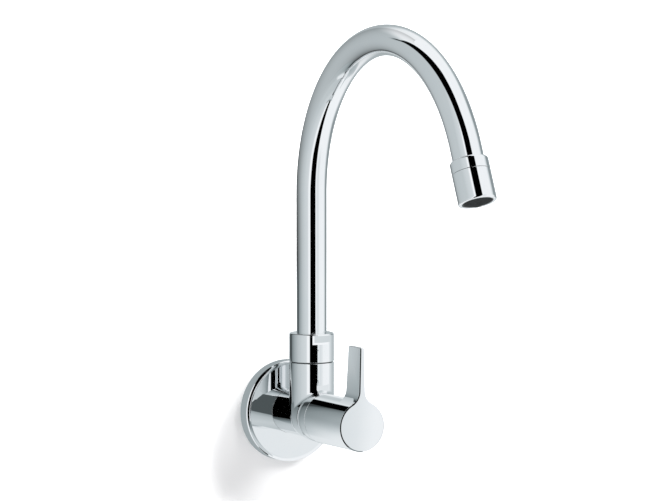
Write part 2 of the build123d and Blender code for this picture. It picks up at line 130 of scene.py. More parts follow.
# ------------------------------------------------------------------------- node graphs
class Graph:
    """One node tree, with short calls for adding nodes and wiring them."""

    def __init__(self, tree: bpy.types.NodeTree) -> None:
        """Takes the tree and empties it.

        Args:
            tree: Shader or geometry node tree to draw in.
        """
        self.tree = tree
        tree.nodes.clear()

    def add(self, kind: str, settings: dict | None = None, **values: Value) -> bpy.types.Node:
        """Adds a node, sets its properties and feeds its inputs.

        Args:
            kind: Blender's name of the node type.
            settings: Node properties by name.
            **values: Inputs by name, with spaces written as underscores.

        Returns:
            The new node.
        """
        node = self.tree.nodes.new(kind)
        for name, value in (settings or {}).items():
            setattr(node, name, value)
        for name, value in values.items():
            self.feed(node.inputs[name.replace("_", " ")], value)
        return node

    def feed(self, socket: Socket, value: Value) -> None:
        """Links a socket, or sets its number or colour.

        Args:
            socket: Input to fill.
            value: Output socket, number or tuple.
        """
        if isinstance(value, bpy.types.NodeSocket):
            self.tree.links.new(value, socket)
        else:
            socket.default_value = value

    def math(self, operation: str, *values: Value, clamp: bool = False) -> Socket:
        """Adds a Math node and returns its output.

        Args:
            operation: Name of the operation.
            *values: Its operands.
            clamp: Whether the result is held between 0 and 1.

        Returns:
            The result's socket.
        """
        node = self.add("ShaderNodeMath", {"operation": operation, "use_clamp": clamp})
        for socket, value in zip(node.inputs, values):
            self.feed(socket, value)
        return node.outputs[0]

    def product(self, first: Value, *others: Value) -> Socket:
        """Multiplies numbers.

        Args:
            first: The first one.
            *others: The others.

        Returns:
            The product's socket.
        """
        for other in others:
            first = self.math("MULTIPLY", first, other)
        return first

    def ramp(self, value: Value, low: float, high: float, to: Point2 = (0.0, 1.0)) -> Socket:
        """Smooth step of a value between two limits.

        Args:
            value: What is mapped.
            low: Value at which the step starts.
            high: Value at which it ends.
            to: Results before and after the step.

        Returns:
            The result's socket.
        """
        node = self.add("ShaderNodeMapRange", {"interpolation_type": "SMOOTHSTEP"}, Value=value)
        for name, number in (("From Min", low), ("From Max", high), ("To Min", to[0]), ("To Max", to[1])):
            node.inputs[name].default_value = number
        return node.outputs["Result"]

    def tones(self, place: Value, stops: Sequence[Point2]) -> Socket:
        """Grey tone that runs through named stops.

        Args:
            place: Where on the run, from 0 to 1.
            stops: Position and tone of each stop.

        Returns:
            The tone's socket.
        """
        node = self.add("ShaderNodeValToRGB", Fac=place)
        elements = node.color_ramp.elements
        while len(elements) < len(stops):
            elements.new(0.5)
        for element, (position, _) in zip(elements, stops):
            element.position = position
        for element, (_, tone) in zip(elements, stops):
            element.color = grey(tone)
        return node.outputs["Color"]

    def fade(self, along: Value, ends: Point2, to: Point2 = (0.0, 1.0)) -> Socket:
        """Smooth step of a place between two ends in mm."""
        return self.ramp(along, ends[0] * MM, ends[1] * MM, to)

    def axes(self, vector: Value) -> Outputs:
        """The X, Y and Z outputs of a vector."""
        return self.add("ShaderNodeSeparateXYZ", Vector=vector).outputs

    def position(self) -> Outputs:
        """X, Y and Z of the point that a geometry tree works on."""
        return self.axes(self.add("GeometryNodeInputPosition").outputs[0])

    def vector(self, **parts: Value) -> Socket:
        """Vector of the X, Y and Z that are given, with 0 for the rest."""
        return self.add("ShaderNodeCombineXYZ", **parts).outputs[0]

    def welded(self, mesh: Socket, reach: float) -> Socket:
        """Mesh whose points within so many mm of each other are one."""
        return self.add("GeometryNodeMergeByDistance", Geometry=mesh, Distance=reach * MM).outputs[0]

    def shaders(self, share: Value, first: Socket, second: Socket) -> Socket:
        """Mixes two shaders.

        Args:
            share: Share of the second one.
            first: Shader at 0.
            second: Shader at 1.

        Returns:
            The shader's socket.
        """
        both = self.add("ShaderNodeMixShader", Fac=share)
        self.feed(both.inputs[1], first)
        self.feed(both.inputs[2], second)
        return both.outputs[0]

    def end(self, kind: str, surface: Socket) -> None:
        """Ends a material's or the world's tree with this surface."""
        self.feed(self.add(kind).inputs["Surface"], surface)

    def mix(self, amount: Value, first: Value, second: Value, blend: str = "MIX") -> Socket:
        """Mixes two colours.

        Args:
            amount: Share of the second one.
            first: Colour at 0.
            second: Colour at 1.
            blend: How the second one is laid on the first.

        Returns:
            The colour's socket.
        """
        node = self.add("ShaderNodeMix", {"data_type": "RGBA", "blend_type": blend})
        self.feed(node.inputs[0], amount)
        self.feed(node.inputs[6], first)
        self.feed(node.inputs[7], second)
        return node.outputs[2]


class Effect:
    """Shader node group that several finishes share, built once."""

    name = "effect"
    inputs: dict[str, float] = {}
    output = "Mask"

    @classmethod
    def tree(cls) -> bpy.types.NodeTree:
        """Finds the group's tree, or builds it at its first use.

        Returns:
            The tree.
        """
        found = bpy.data.node_groups.get(cls.name)
        if found:
            return found
        tree = bpy.data.node_groups.new(cls.name, "ShaderNodeTree")
        tree.interface.new_socket("Vector", in_out="INPUT", socket_type="NodeSocketVector")
        for label, value in cls.inputs.items():
            socket = tree.interface.new_socket(label, in_out="INPUT", socket_type="NodeSocketFloat")
            socket.default_value = value
        tree.interface.new_socket(cls.output, in_out="OUTPUT", socket_type="NodeSocketFloat")
        graph = Graph(tree)
        source = graph.add("NodeGroupInput")
        sink = graph.add("NodeGroupOutput")
        graph.feed(sink.inputs[cls.output], cls.draw(graph, source.outputs))
        return tree

    @classmethod
    def draw(cls, graph: Graph, given: Outputs) -> Socket:
        """Draws the effect from the group's inputs and returns its output socket."""
        raise NotImplementedError

    @classmethod
    def place(cls, graph: Graph, vector: Value, **values: float) -> Socket:
        """Puts the group in a material.

        Args:
            graph: The material's graph.
            vector: Coordinates of the pattern.
            **values: Inputs by name.

        Returns:
            The group's output socket.
        """
        node = graph.add("ShaderNodeGroup", {"node_tree": cls.tree()}, Vector=vector, **values)
        return node.outputs[cls.output]


class FineScratches(Effect):
    """Hairlines left by wiping: thin lines along two directions, broken up by patches."""

    name = "fine_scratches"
    inputs = {"Scale": 900.0, "Cover": 0.5}
    turns_and_seeds = ((0.5, 3.0), (2.1, 11.0))
    axis = (0.36, 0.48, 0.8)
    stretch = (0.04, 1.0, 1.0)
    line = (0.66, 0.72)
    patch_scale = 60.0
    patch = (0.42, 0.62)

    @classmethod
    def draw(cls, graph: Graph, given: Outputs) -> Socket:
        """Draws two families of stretched noise lines under one patchy mask.

        Args:
            graph: The group's graph.
            given: The group's inputs.

        Returns:
            Socket of the mask.
        """
        lines = []
        for turn, seed in cls.turns_and_seeds:
            turned = graph.add(
                "ShaderNodeVectorRotate",
                {"rotation_type": "AXIS_ANGLE"},
                Vector=given["Vector"],
                Axis=cls.axis,
                Angle=turn,
            )
            stretched = graph.add("ShaderNodeVectorMath", {"operation": "MULTIPLY"})
            graph.feed(stretched.inputs[0], turned.outputs[0])
            graph.feed(stretched.inputs[1], cls.stretch)
            noise = graph.add(
                "ShaderNodeTexNoise",
                {"noise_dimensions": "4D"},
                Vector=stretched.outputs[0],
                Scale=given["Scale"],
                W=seed,
                Detail=1.0,
            )
            lines.append(graph.ramp(noise.outputs[0], *cls.line))
        patches = graph.add("ShaderNodeTexNoise", Vector=given["Vector"], Scale=cls.patch_scale, Detail=2.0)
        share = graph.math("MULTIPLY", graph.ramp(patches.outputs[0], *cls.patch), given["Cover"])
        return graph.math("MULTIPLY", graph.math("MAXIMUM", *lines), share)


class WaterMarks(Effect):
    """Faint dried drops and wiped haze on a polished surface."""

    name = "water_marks"
    inputs = {"Scale": 140.0, "Cover": 0.5}
    drop_radius = 0.34
    rim_width = 0.05
    drop_share = 0.35
    haze_scale = 38.0
    haze = (0.45, 0.75)

    @classmethod
    def draw(cls, graph: Graph, given: Outputs) -> Socket:
        """Draws thin rims of cells, and adds a soft haze.

        Args:
            graph: The group's graph.
            given: The group's inputs.

        Returns:
            Socket of the mask.
        """
        cells = graph.add(
            "ShaderNodeTexVoronoi", {"feature": "F1"}, Vector=given["Vector"], Scale=given["Scale"]
        )
        rim = graph.math("SUBTRACT", cls.drop_radius, cells.outputs["Distance"])
        drops = graph.ramp(graph.math("ABSOLUTE", rim), 0.0, cls.rim_width, (1.0, 0.0))
        haze = graph.add("ShaderNodeTexNoise", Vector=given["Vector"], Scale=cls.haze_scale, Detail=3.0)
        soft = graph.ramp(haze.outputs[0], *cls.haze)
        both = graph.math("ADD", graph.math("MULTIPLY", drops, cls.drop_share), soft, clamp=True)
        return graph.math("MULTIPLY", both, given["Cover"])


class Ripple(Effect):
    """Slow waviness that plating and moulding leave in a surface."""

    name = "surface_ripple"
    inputs = {"Scale": 90.0, "Grain": 900.0, "Grain Share": 0.2}
    output = "Height"

    @classmethod
    def draw(cls, graph: Graph, given: Outputs) -> Socket:
        """Adds a fine grain to a slow wave.

        Args:
            graph: The group's graph.
            given: The group's inputs.

        Returns:
            Socket of the height.
        """
        slow = graph.add("ShaderNodeTexNoise", Vector=given["Vector"], Scale=given["Scale"], Detail=1.0)
        fine = graph.add("ShaderNodeTexNoise", Vector=given["Vector"], Scale=given["Grain"], Detail=3.0)
        grain = graph.math("MULTIPLY", fine.outputs[0], given["Grain Share"])
        return graph.math("ADD", slow.outputs[0], grain)


# ---------------------------------------------------------------------------- finishes
def new_material(name: str) -> tuple[bpy.types.Material, Graph, Socket]:
    """Starts an empty material.

    Args:
        name: Name of the material.

    Returns:
        The material, its graph, and the Object coordinates in it.
    """
    made = bpy.data.materials.new(name)
    made.use_nodes = True
    graph = Graph(made.node_tree)
    return made, graph, graph.add("ShaderNodeTexCoord").outputs["Object"]


@dataclass(frozen=True)
class Finish:
    """Surface of one material: two close tones, gloss, waviness, scratches and marks."""

    slot: Slot
    tone: Point3
    drift: Point3
    metallic: float = 0.0
    roughness: float = 0.4
    scratches: float = 0.1
    marks: float = 0.05
    ripple: float = 0.0
    ripple_scale: float = 90.0
    grain_scale: float = 900.0
    grain_share: float = 0.2
    coat: float = 0.0
    wear_gloss: float = 0.22
    cloud_scale: float = 55.0
    cloud: Point2 = (0.3, 0.7)

    def material(self) -> bpy.types.Material:
        """Builds the material, or returns it if it has been built.

        Returns:
            Material named after the slot.
        """
        name = f"{self.slot.value}_finish"
        found = bpy.data.materials.get(name)
        if found:
            return found
        made, graph, where = new_material(name)
        scratches = FineScratches.place(graph, where, Cover=self.scratches)
        marks = WaterMarks.place(graph, where, Cover=self.marks)
        cloud = graph.add("ShaderNodeTexNoise", Vector=where, Scale=self.cloud_scale, Detail=3.0)
        shift = graph.ramp(cloud.outputs[0], *self.cloud)
        colour = graph.mix(shift, (*self.tone, 1), (*self.drift, 1))
        wear = graph.math("ADD", scratches, marks, clamp=True)
        rough = graph.math("ADD", graph.math("MULTIPLY", wear, self.wear_gloss), self.roughness, clamp=True)
        shader = graph.add("ShaderNodeBsdfPrincipled", Base_Color=colour, Roughness=rough)
        shader.inputs["Metallic"].default_value = self.metallic
        shader.inputs["Coat Weight"].default_value = self.coat
        if self.ripple > 0:
            height = Ripple.place(
                graph, where, Scale=self.ripple_scale, Grain=self.grain_scale, Grain_Share=self.grain_share
            )
            bump = graph.add("ShaderNodeBump", Height=height)
            bump.inputs["Strength"].default_value = 1.0
            bump.inputs["Distance"].default_value = self.ripple * MM
            graph.feed(shader.inputs["Normal"], bump.outputs["Normal"])
        graph.end("ShaderNodeOutputMaterial", shader.outputs["BSDF"])
        return made


FINISHES = {
    finish.slot: finish
    for finish in (
        Finish(
            Slot.CHROME, tone=(0.93, 0.935, 0.94), drift=(0.915, 0.925, 0.935), metallic=1.0,
            roughness=0.025, scratches=0.05, marks=0.05, ripple=0.0003, grain_share=0.02,
        ),
        Finish(
            Slot.BRASS, tone=(0.80, 0.58, 0.30), drift=(0.72, 0.50, 0.24), metallic=1.0,
            roughness=0.24, scratches=0.6, marks=0.3, ripple=0.01,
        ),
        Finish(
            Slot.STEEL, tone=(0.58, 0.58, 0.57), drift=(0.48, 0.48, 0.475), metallic=1.0,
            roughness=0.28, scratches=0.5, marks=0.25, ripple=0.01,
        ),
        Finish(
            Slot.RUBBER, tone=(0.022, 0.022, 0.024), drift=(0.035, 0.035, 0.036), roughness=0.55,
            scratches=0.2, marks=0.4, ripple=0.02, grain_share=0.6,
        ),
        Finish(
            Slot.CERAMIC, tone=(0.86, 0.85, 0.82), drift=(0.80, 0.79, 0.76), roughness=0.18,
            marks=0.1, ripple=0.002, coat=0.3,
        ),
        Finish(
            Slot.WHITE_PLASTIC, tone=(0.80, 0.80, 0.78), drift=(0.73, 0.73, 0.71), roughness=0.38,
            scratches=0.2, marks=0.1, ripple=0.012,
        ),
        Finish(
            Slot.GREY_PLASTIC, tone=(0.42, 0.43, 0.44), drift=(0.36, 0.37, 0.38), roughness=0.34,
            scratches=0.2, marks=0.1, ripple=0.012,
        ),
        Finish(
            Slot.BLACK_PLASTIC, tone=(0.017, 0.021, 0.022), drift=(0.025, 0.03, 0.031),
            roughness=0.42, scratches=0.15, marks=0.2, ripple=0.01,
        ),
        Finish(
            Slot.FOAM, tone=(0.05, 0.05, 0.052), drift=(0.09, 0.09, 0.092), roughness=0.85,
            ripple=0.12, ripple_scale=1400.0, grain_scale=3800.0, grain_share=0.8,
        ),
    )
}


# ------------------------------------------------------------------------------ places
def level_place() -> Matrix:
    """Place of the level axis: heights run out of the wall from the inlet."""
    return Matrix(((1, 0, 0, 0), (0, 0, -1, 0), (0, 1, 0, 0), (0, 0, 0, 1)))


def upright_place(offset: float) -> Matrix:
    """Place of the spout's upright axis, this many mm out of the wall."""
    return Matrix.Translation((0, -offset * MM, 0))


# ------------------------------------------------------------------------------- skins
class Skin:
    """Surface gathered from patches that carry their own normals, welded where they meet.

    Points that round to the same ten-millionth of a metre are one point.
    """

    WELD = 1e7

    def __init__(self, place: Matrix | None = None) -> None:
        """Starts an empty surface.

        Args:
            place: Where drawn points in mm go in the scene.
        """
        self.place = (place or Matrix.Identity(4)) @ Matrix.Scale(MM, 4)
        self.turn = self.place.to_3x3().normalized()
        self.points: list[Vector] = []
        self.found: dict[tuple[int, int, int], int] = {}
        self.faces: list[list[int]] = []
        self.normals: list[Vector] = []

    def point(self, drawn: Vector) -> int:
        """Finds a point that is already there, or adds it.

        Args:
            drawn: The point as it is drawn.

        Returns:
            Its index.
        """
        placed = self.place @ drawn
        key = tuple(round(value * self.WELD) for value in placed)
        if key not in self.found:
            self.found[key] = len(self.points)
            self.points.append(placed)
        return self.found[key]

    def face(self, corners: Sequence[Vector], normals: Sequence[Vector]) -> None:
        """Adds one face, turned so that it looks the way its normals point.

        Args:
            corners: Drawn corners in order.
            normals: Drawn normal at each corner.
        """
        chain: list[tuple[int, Vector]] = []
        for corner, normal in zip(corners, normals):
            index = self.point(corner)
            if all(index != other for other, _ in chain):
                chain.append((index, (self.turn @ normal).normalized()))
        if len(chain) < 3:
            return
        around = Vector()
        for (a, _), (b, _) in zip(chain, chain[1:] + chain[:1]):
            around += self.points[a].cross(self.points[b])
        middle = sum((normal for _, normal in chain), Vector())
        if around.dot(middle) < 0:
            chain.reverse()
        self.faces.append([index for index, _ in chain])
        self.normals.extend(normal for _, normal in chain)

    def grid(self, rows: Sequence[Sequence[Spot]], wrap: bool = False) -> None:
        """Adds the faces between rows of points.

        Args:
            rows: Rows of drawn points with their normals, all of one length.
            wrap: Whether each row closes on itself.
        """
        count = len(rows[0])
        for low, high in zip(rows, rows[1:]):
            for i in range(count if wrap else count - 1):
                j = (i + 1) % count
                self.patch(low[i], low[j], high[j], high[i])

    def patch(self, *corners: Spot) -> None:
        """Adds one face by its corners, each with its normal."""
        self.face([point for point, _ in corners], [normal for _, normal in corners])

    def flat(self, outline: Sequence[Vector], normal: Vector) -> None:
        """Adds one flat face inside an outline."""
        self.face(outline, [normal] * len(outline))

    def build(self, name: str) -> bpy.types.Object:
        """Makes the object, with the patches' own normals on its corners.

        Args:
            name: Name of the piece.

        Returns:
            The object, at the origin, with its place in its mesh.
        """
        mesh = bpy.data.meshes.new(name)
        mesh.from_pydata(self.points, [], self.faces)
        mesh.polygons.foreach_set("use_smooth", [True] * len(mesh.polygons))
        mesh.normals_split_custom_set(self.normals)
        made = bpy.data.objects.new(name, mesh)
        bpy.context.scene.collection.objects.link(made)
        return made


@dataclass(frozen=True)
class Corner:
    """Corner of a section in mm, and the radius that it is rounded to."""

    r: float
    h: float
    bend: float = 0.0

    def vector(self) -> Vector:
        """The corner as a point of the section's plane."""
        return Vector((self.r, self.h))


class Section:
    """Closed outline with rounded corners, as strips of points with outward normals."""

    SHORTEST = 1e-6

    def __init__(self, corners: Sequence[Corner], step: float = math.radians(7.5)) -> None:
        """Rounds the corners and works out the normals.

        Args:
            corners: Corners in order, either way round.
            step: Largest turn between two points of a rounded corner.
        """
        self.step = step
        spots = [corner.vector() for corner in corners]
        pairs = zip(spots, spots[1:] + spots[:1])
        area = sum(a.x * b.y - b.x * a.y for a, b in pairs)
        self.side = 1 if area > 0 else -1
        self.strips: list[list[Spot]] = []
        bends = [self.bend(corners, i) for i in range(len(corners))]
        for arc, following in zip(bends, bends[1:] + bends[:1]):
            if len(arc) > 1:
                self.strips.append(arc)
            start, end = arc[-1][0], following[0][0]
            if (end - start).length > self.SHORTEST:
                normal = self.outward(end - start)
                self.strips.append([(start, normal), (end, normal)])

    def outward(self, along: Vector) -> Vector:
        """Outward normal of a run in this direction."""
        return Vector((along.y, -along.x)).normalized() * self.side

    def bend(self, corners: Sequence[Corner], i: int) -> list[Spot]:
        """Points and normals of one rounded corner.

        Args:
            corners: All corners.
            i: Which one.

        Returns:
            Its arc, or the bare corner where it isn't rounded.
        """
        spot = corners[i].vector()
        radius = corners[i].bend
        back = (corners[i - 1].vector() - spot).normalized()
        on = (corners[(i + 1) % len(corners)].vector() - spot).normalized()
        if radius == 0:
            return [(spot, Vector((0, 0)))]
        half = back.angle(on) / 2
        centre = spot + (back + on).normalized() * (radius / math.sin(half))
        start = spot + back * (radius / math.tan(half)) - centre
        sweep = start.angle_signed(spot + on * (radius / math.tan(half)) - centre)
        facing = 1 if start.dot(self.outward(-back)) > 0 else -1
        count = max(2, math.ceil(abs(sweep) / self.step))
        arc = []
        for k in range(count + 1):
            ray = start.copy()
            ray.rotate(Matrix.Rotation(-sweep * k / count, 2))
            arc.append((centre + ray, ray.normalized() * facing))
        return arc


def turned_piece(name: str, place: Matrix, corners: Sequence[Corner], steps: int = 128) -> bpy.types.Object:
    """Solid of revolution about the place's Z axis.

    Args:
        name: Name of the piece.
        place: Place of its axis.
        corners: Corners of its section in mm.
        steps: Number of faces round it.

    Returns:
        The piece, with exact normals.
    """
    skin = Skin(place)
    spokes = [(math.cos(FULL_TURN * i / steps), math.sin(FULL_TURN * i / steps)) for i in range(steps)]
    for strip in Section(corners).strips:
        rows = [
            [tuple(Vector((part.x * c, part.x * s, part.y)) for part in spot) for c, s in spokes]
            for spot in strip
        ]
        skin.grid(rows, wrap=True)
    return skin.build(name)


def dressed(piece: bpy.types.Object, body: Body, slot: Slot, nodes: Iterable[str] = ()) -> bpy.types.Object:
    """Gives a piece its finish, its body and the nodes that it stands for.

    Args:
        piece: The finished mesh object.
        body: Body that it rides on.
        slot: Finish that it takes.
        nodes: Nodes that it replaces.

    Returns:
        The same piece.
    """
    piece.data.materials.clear()
    piece.data.materials.append(FINISHES[slot].material())
    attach(piece, body.value)
    if nodes:
        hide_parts(*nodes)
    log.info("%s: %d faces, %s, on %s", piece.name, len(piece.data.polygons), slot.value, body.value)
    return piece


# ---------------------------------------------------------------------- geometry nodes
class Recipe:
    """Geometry Nodes tree with named inputs that makes one piece."""

    def __init__(self, name: str, sizes: dict[str, float], finish: Slot) -> None:
        """Starts the tree and its inputs.

        Args:
            name: Name of the tree.
            sizes: Inputs by name, in metres or as counts.
            finish: Material that the piece gets.
        """
        self.name = name
        self.sizes = sizes
        self.finish = finish
        self.tree = bpy.data.node_groups.new(name, "GeometryNodeTree")
        self.keys: dict[str, str] = {}
        self.tree.interface.new_socket("Geometry", in_out="INPUT", socket_type="NodeSocketGeometry")
        for label, value in sizes.items():
            kind = "NodeSocketInt" if isinstance(value, int) else "NodeSocketFloat"
            socket = self.tree.interface.new_socket(label, in_out="INPUT", socket_type=kind)
            self.keys[label] = socket.identifier
        self.tree.interface.new_socket("Geometry", in_out="OUTPUT", socket_type="NodeSocketGeometry")
        self.graph = Graph(self.tree)
        self.given = self.graph.add("NodeGroupInput").outputs

    def result(self, geometry: Socket, place: Matrix) -> bpy.types.Object:
        """Ends the tree and turns what it makes into a plain mesh.

        Args:
            geometry: Socket that holds the piece.
            place: Where the piece goes.

        Returns:
            Object with a plain mesh and no modifier.
        """
        graph = self.graph
        real = graph.add("GeometryNodeRealizeInstances", Geometry=geometry).outputs[0]
        painted = graph.add("GeometryNodeSetMaterial", Geometry=real)
        painted.inputs["Material"].default_value = FINISHES[self.finish].material()
        graph.feed(graph.add("NodeGroupOutput").inputs[0], painted.outputs[0])
        carrier = bpy.data.objects.new(self.name, bpy.data.meshes.new(self.name))
        bpy.context.scene.collection.objects.link(carrier)
        modifier = carrier.modifiers.new("recipe", "NODES")
        modifier.node_group = self.tree
        for label, value in self.sizes.items():
            modifier[self.keys[label]] = value
        state = bpy.context.evaluated_depsgraph_get()
        mesh = bpy.data.meshes.new_from_object(carrier.evaluated_get(state))
        carrier.modifiers.remove(modifier)
        carrier.data = mesh
        mesh.transform(place)
        face_outwards(mesh)
        return carrier


def face_outwards(mesh: bpy.types.Mesh) -> None:
    """Turns all faces of a closed mesh to look outwards.

    Args:
        mesh: The mesh, changed in place.
    """
    shape = bmesh.new()
    shape.from_mesh(mesh)
    bmesh.ops.recalc_face_normals(shape, faces=shape.faces)
    shape.to_mesh(mesh)
    shape.free()


def soften(piece: bpy.types.Object, angle: float = math.radians(32)) -> bpy.types.Object:
    """Gives a piece smooth shading that breaks only at sharp edges.

    Args:
        piece: The piece.
        angle: Sharpest turn that stays smooth.

    Returns:
        The same piece.
    """
    piece.data.polygons.foreach_set("use_smooth", [True] * len(piece.data.polygons))
    piece.data.set_sharp_from_angle(angle=angle)
    return piece


# --------------------------------------------------------------------------- the parts
@dataclass
class WallFlange:
    """Round cover on the wall, with a thin face and rim."""

    radius: float = 37.0
    depth: float = 10.0
    rim_side: float = 8.735
    rim_round: float = 0.5
    rim_face: float = 35.44
    rim_bend: float = 4.3
    bore: float = 16.28
    plate: float = 2.0
    collar: float = 3.6
    collar_back: float = 2.0
    seal_radius: float = 17.09
    seal_cord: float = 0.8
    seal_at: float = 5.6
    seal_room: float = 0.1
    mouth_edge: float = 0.1
    under_bend: float = 1.2
    steps: int = 192

    def build(self) -> None:
        """Makes the cover in place of its node."""
        under = self.depth - self.plate
        half = self.seal_cord + self.seal_room
        groove = self.seal_radius + half
        corners = (
            Corner(self.radius, 0),
            Corner(self.radius, self.rim_side, self.rim_round),
            Corner(self.rim_face, self.depth, self.rim_bend),
            Corner(self.bore, self.depth, self.mouth_edge),
            Corner(self.bore, self.seal_at + half),
            Corner(groove, self.seal_at + half),
            Corner(groove, self.seal_at - half),
            Corner(self.bore, self.seal_at - half),
            Corner(self.bore, self.collar_back),
            Corner(self.bore + self.collar, self.collar_back),
            Corner(self.bore + self.collar, under),
            Corner(self.radius - self.plate, under, self.under_bend),
            Corner(self.radius - self.plate, 0),
        )
        piece = turned_piece("flange_cover", level_place(), corners, self.steps)
        dressed(piece, Body.BODY, Slot.CHROME, ["wall_flange"])


@dataclass
class ValveBody:
    """Cast body in its own shape, with exact normals on its barrel, boss and bell."""

    offset: float = SWIVEL_OFFSET
    radius: float = BODY_RADIUS
    hub_radius: float = HUB_RADIUS
    bell_start: float = 39.0
    bell_full: float = 57.0
    weld: float = 0.002
    sharp: float = math.radians(28)
    slack: float = 0.03
    agreement: float = 0.95

    def build(self, node: bpy.types.Object) -> None:
        """Makes the body in place of its node.

        Args:
            node: The node that carries its shape.
        """
        mesh = node.data.copy()
        mesh.transform(node.matrix_world)
        shape = bmesh.new()
        shape.from_mesh(mesh)
        bmesh.ops.remove_doubles(shape, verts=shape.verts, dist=self.weld * MM)
        shape.to_mesh(mesh)
        shape.free()
        piece = bpy.data.objects.new("valve_casting", mesh)
        bpy.context.scene.collection.objects.link(piece)
        soften(piece, self.sharp)
        normals = [corner.vector.copy() for corner in mesh.corner_normals]
        for polygon in mesh.polygons:
            for loop in polygon.loop_indices:
                spot = mesh.vertices[mesh.loops[loop].vertex_index].co / MM
                for exact in self.exact(spot):
                    if exact.dot(polygon.normal) > self.agreement:
                        normals[loop] = exact
        mesh.normals_split_custom_set(normals)
        dressed(piece, Body.BODY, Slot.CHROME, ["valve_body"])

    def exact(self, spot: Vector) -> list[Vector]:
        """Normals of the turned faces that pass through a point.

        Args:
            spot: The point in mm.

        Returns:
            The normals, none where no turned face is near.
        """
        found = []
        upright = Vector((spot.x, spot.y + self.offset, 0))
        if abs(upright.length - self.radius) < self.slack:
            found.append(upright.normalized())
        level = Vector((spot.x, 0, spot.z))
        if abs(level.length - self.radius) < self.slack and -spot.y < self.bell_start + self.slack:
            found.append(level.normalized())
        if abs(level.length - self.hub_radius) < self.slack and -spot.y > self.bell_full - self.slack:
            found.append(level.normalized())
        rise = self.hub_radius - self.radius
        run = self.bell_full - self.bell_start
        bend = (rise * rise + run * run) / (2 * rise)
        back = self.bell_full + spot.y
        if 0 < back < run + self.slack:
            out = math.sqrt(bend * bend - back * back)
            if abs(level.length - (self.hub_radius - bend + out)) < self.slack:
                found.append((level.normalized() * out + Vector((0, back, 0))).normalized())
        return found


@dataclass
class SwivelCollar:
    """Collar that turns on the neck and holds the foot of the tube."""

    offset: float = SWIVEL_OFFSET
    radius: float = BODY_RADIUS
    low: float = 39.9
    top: float = 60.3
    edge: float = 1.2
    seam_edge: float = 0.2
    mouth_edge: float = 0.15
    neck_bore: float = 12.36
    tube_bore: float = 11.05
    way: float = 9.5
    tube_seat: float = 53.8
    neck_top: float = 52.6

    def build(self) -> None:
        """Makes the collar in place of its node."""
        corners = (
            Corner(self.neck_bore, self.low),
            Corner(self.radius, self.low, self.seam_edge),
            Corner(self.radius, self.top, self.edge),
            Corner(self.tube_bore, self.top, self.mouth_edge),
            Corner(self.tube_bore, self.tube_seat),
            Corner(self.way, self.tube_seat),
            Corner(self.way, self.neck_top),
            Corner(self.neck_bore, self.neck_top),
        )
        piece = turned_piece("spout_collar", upright_place(self.offset), corners)
        dressed(piece, Body.SPOUT, Slot.CHROME, ["swivel_collar"])


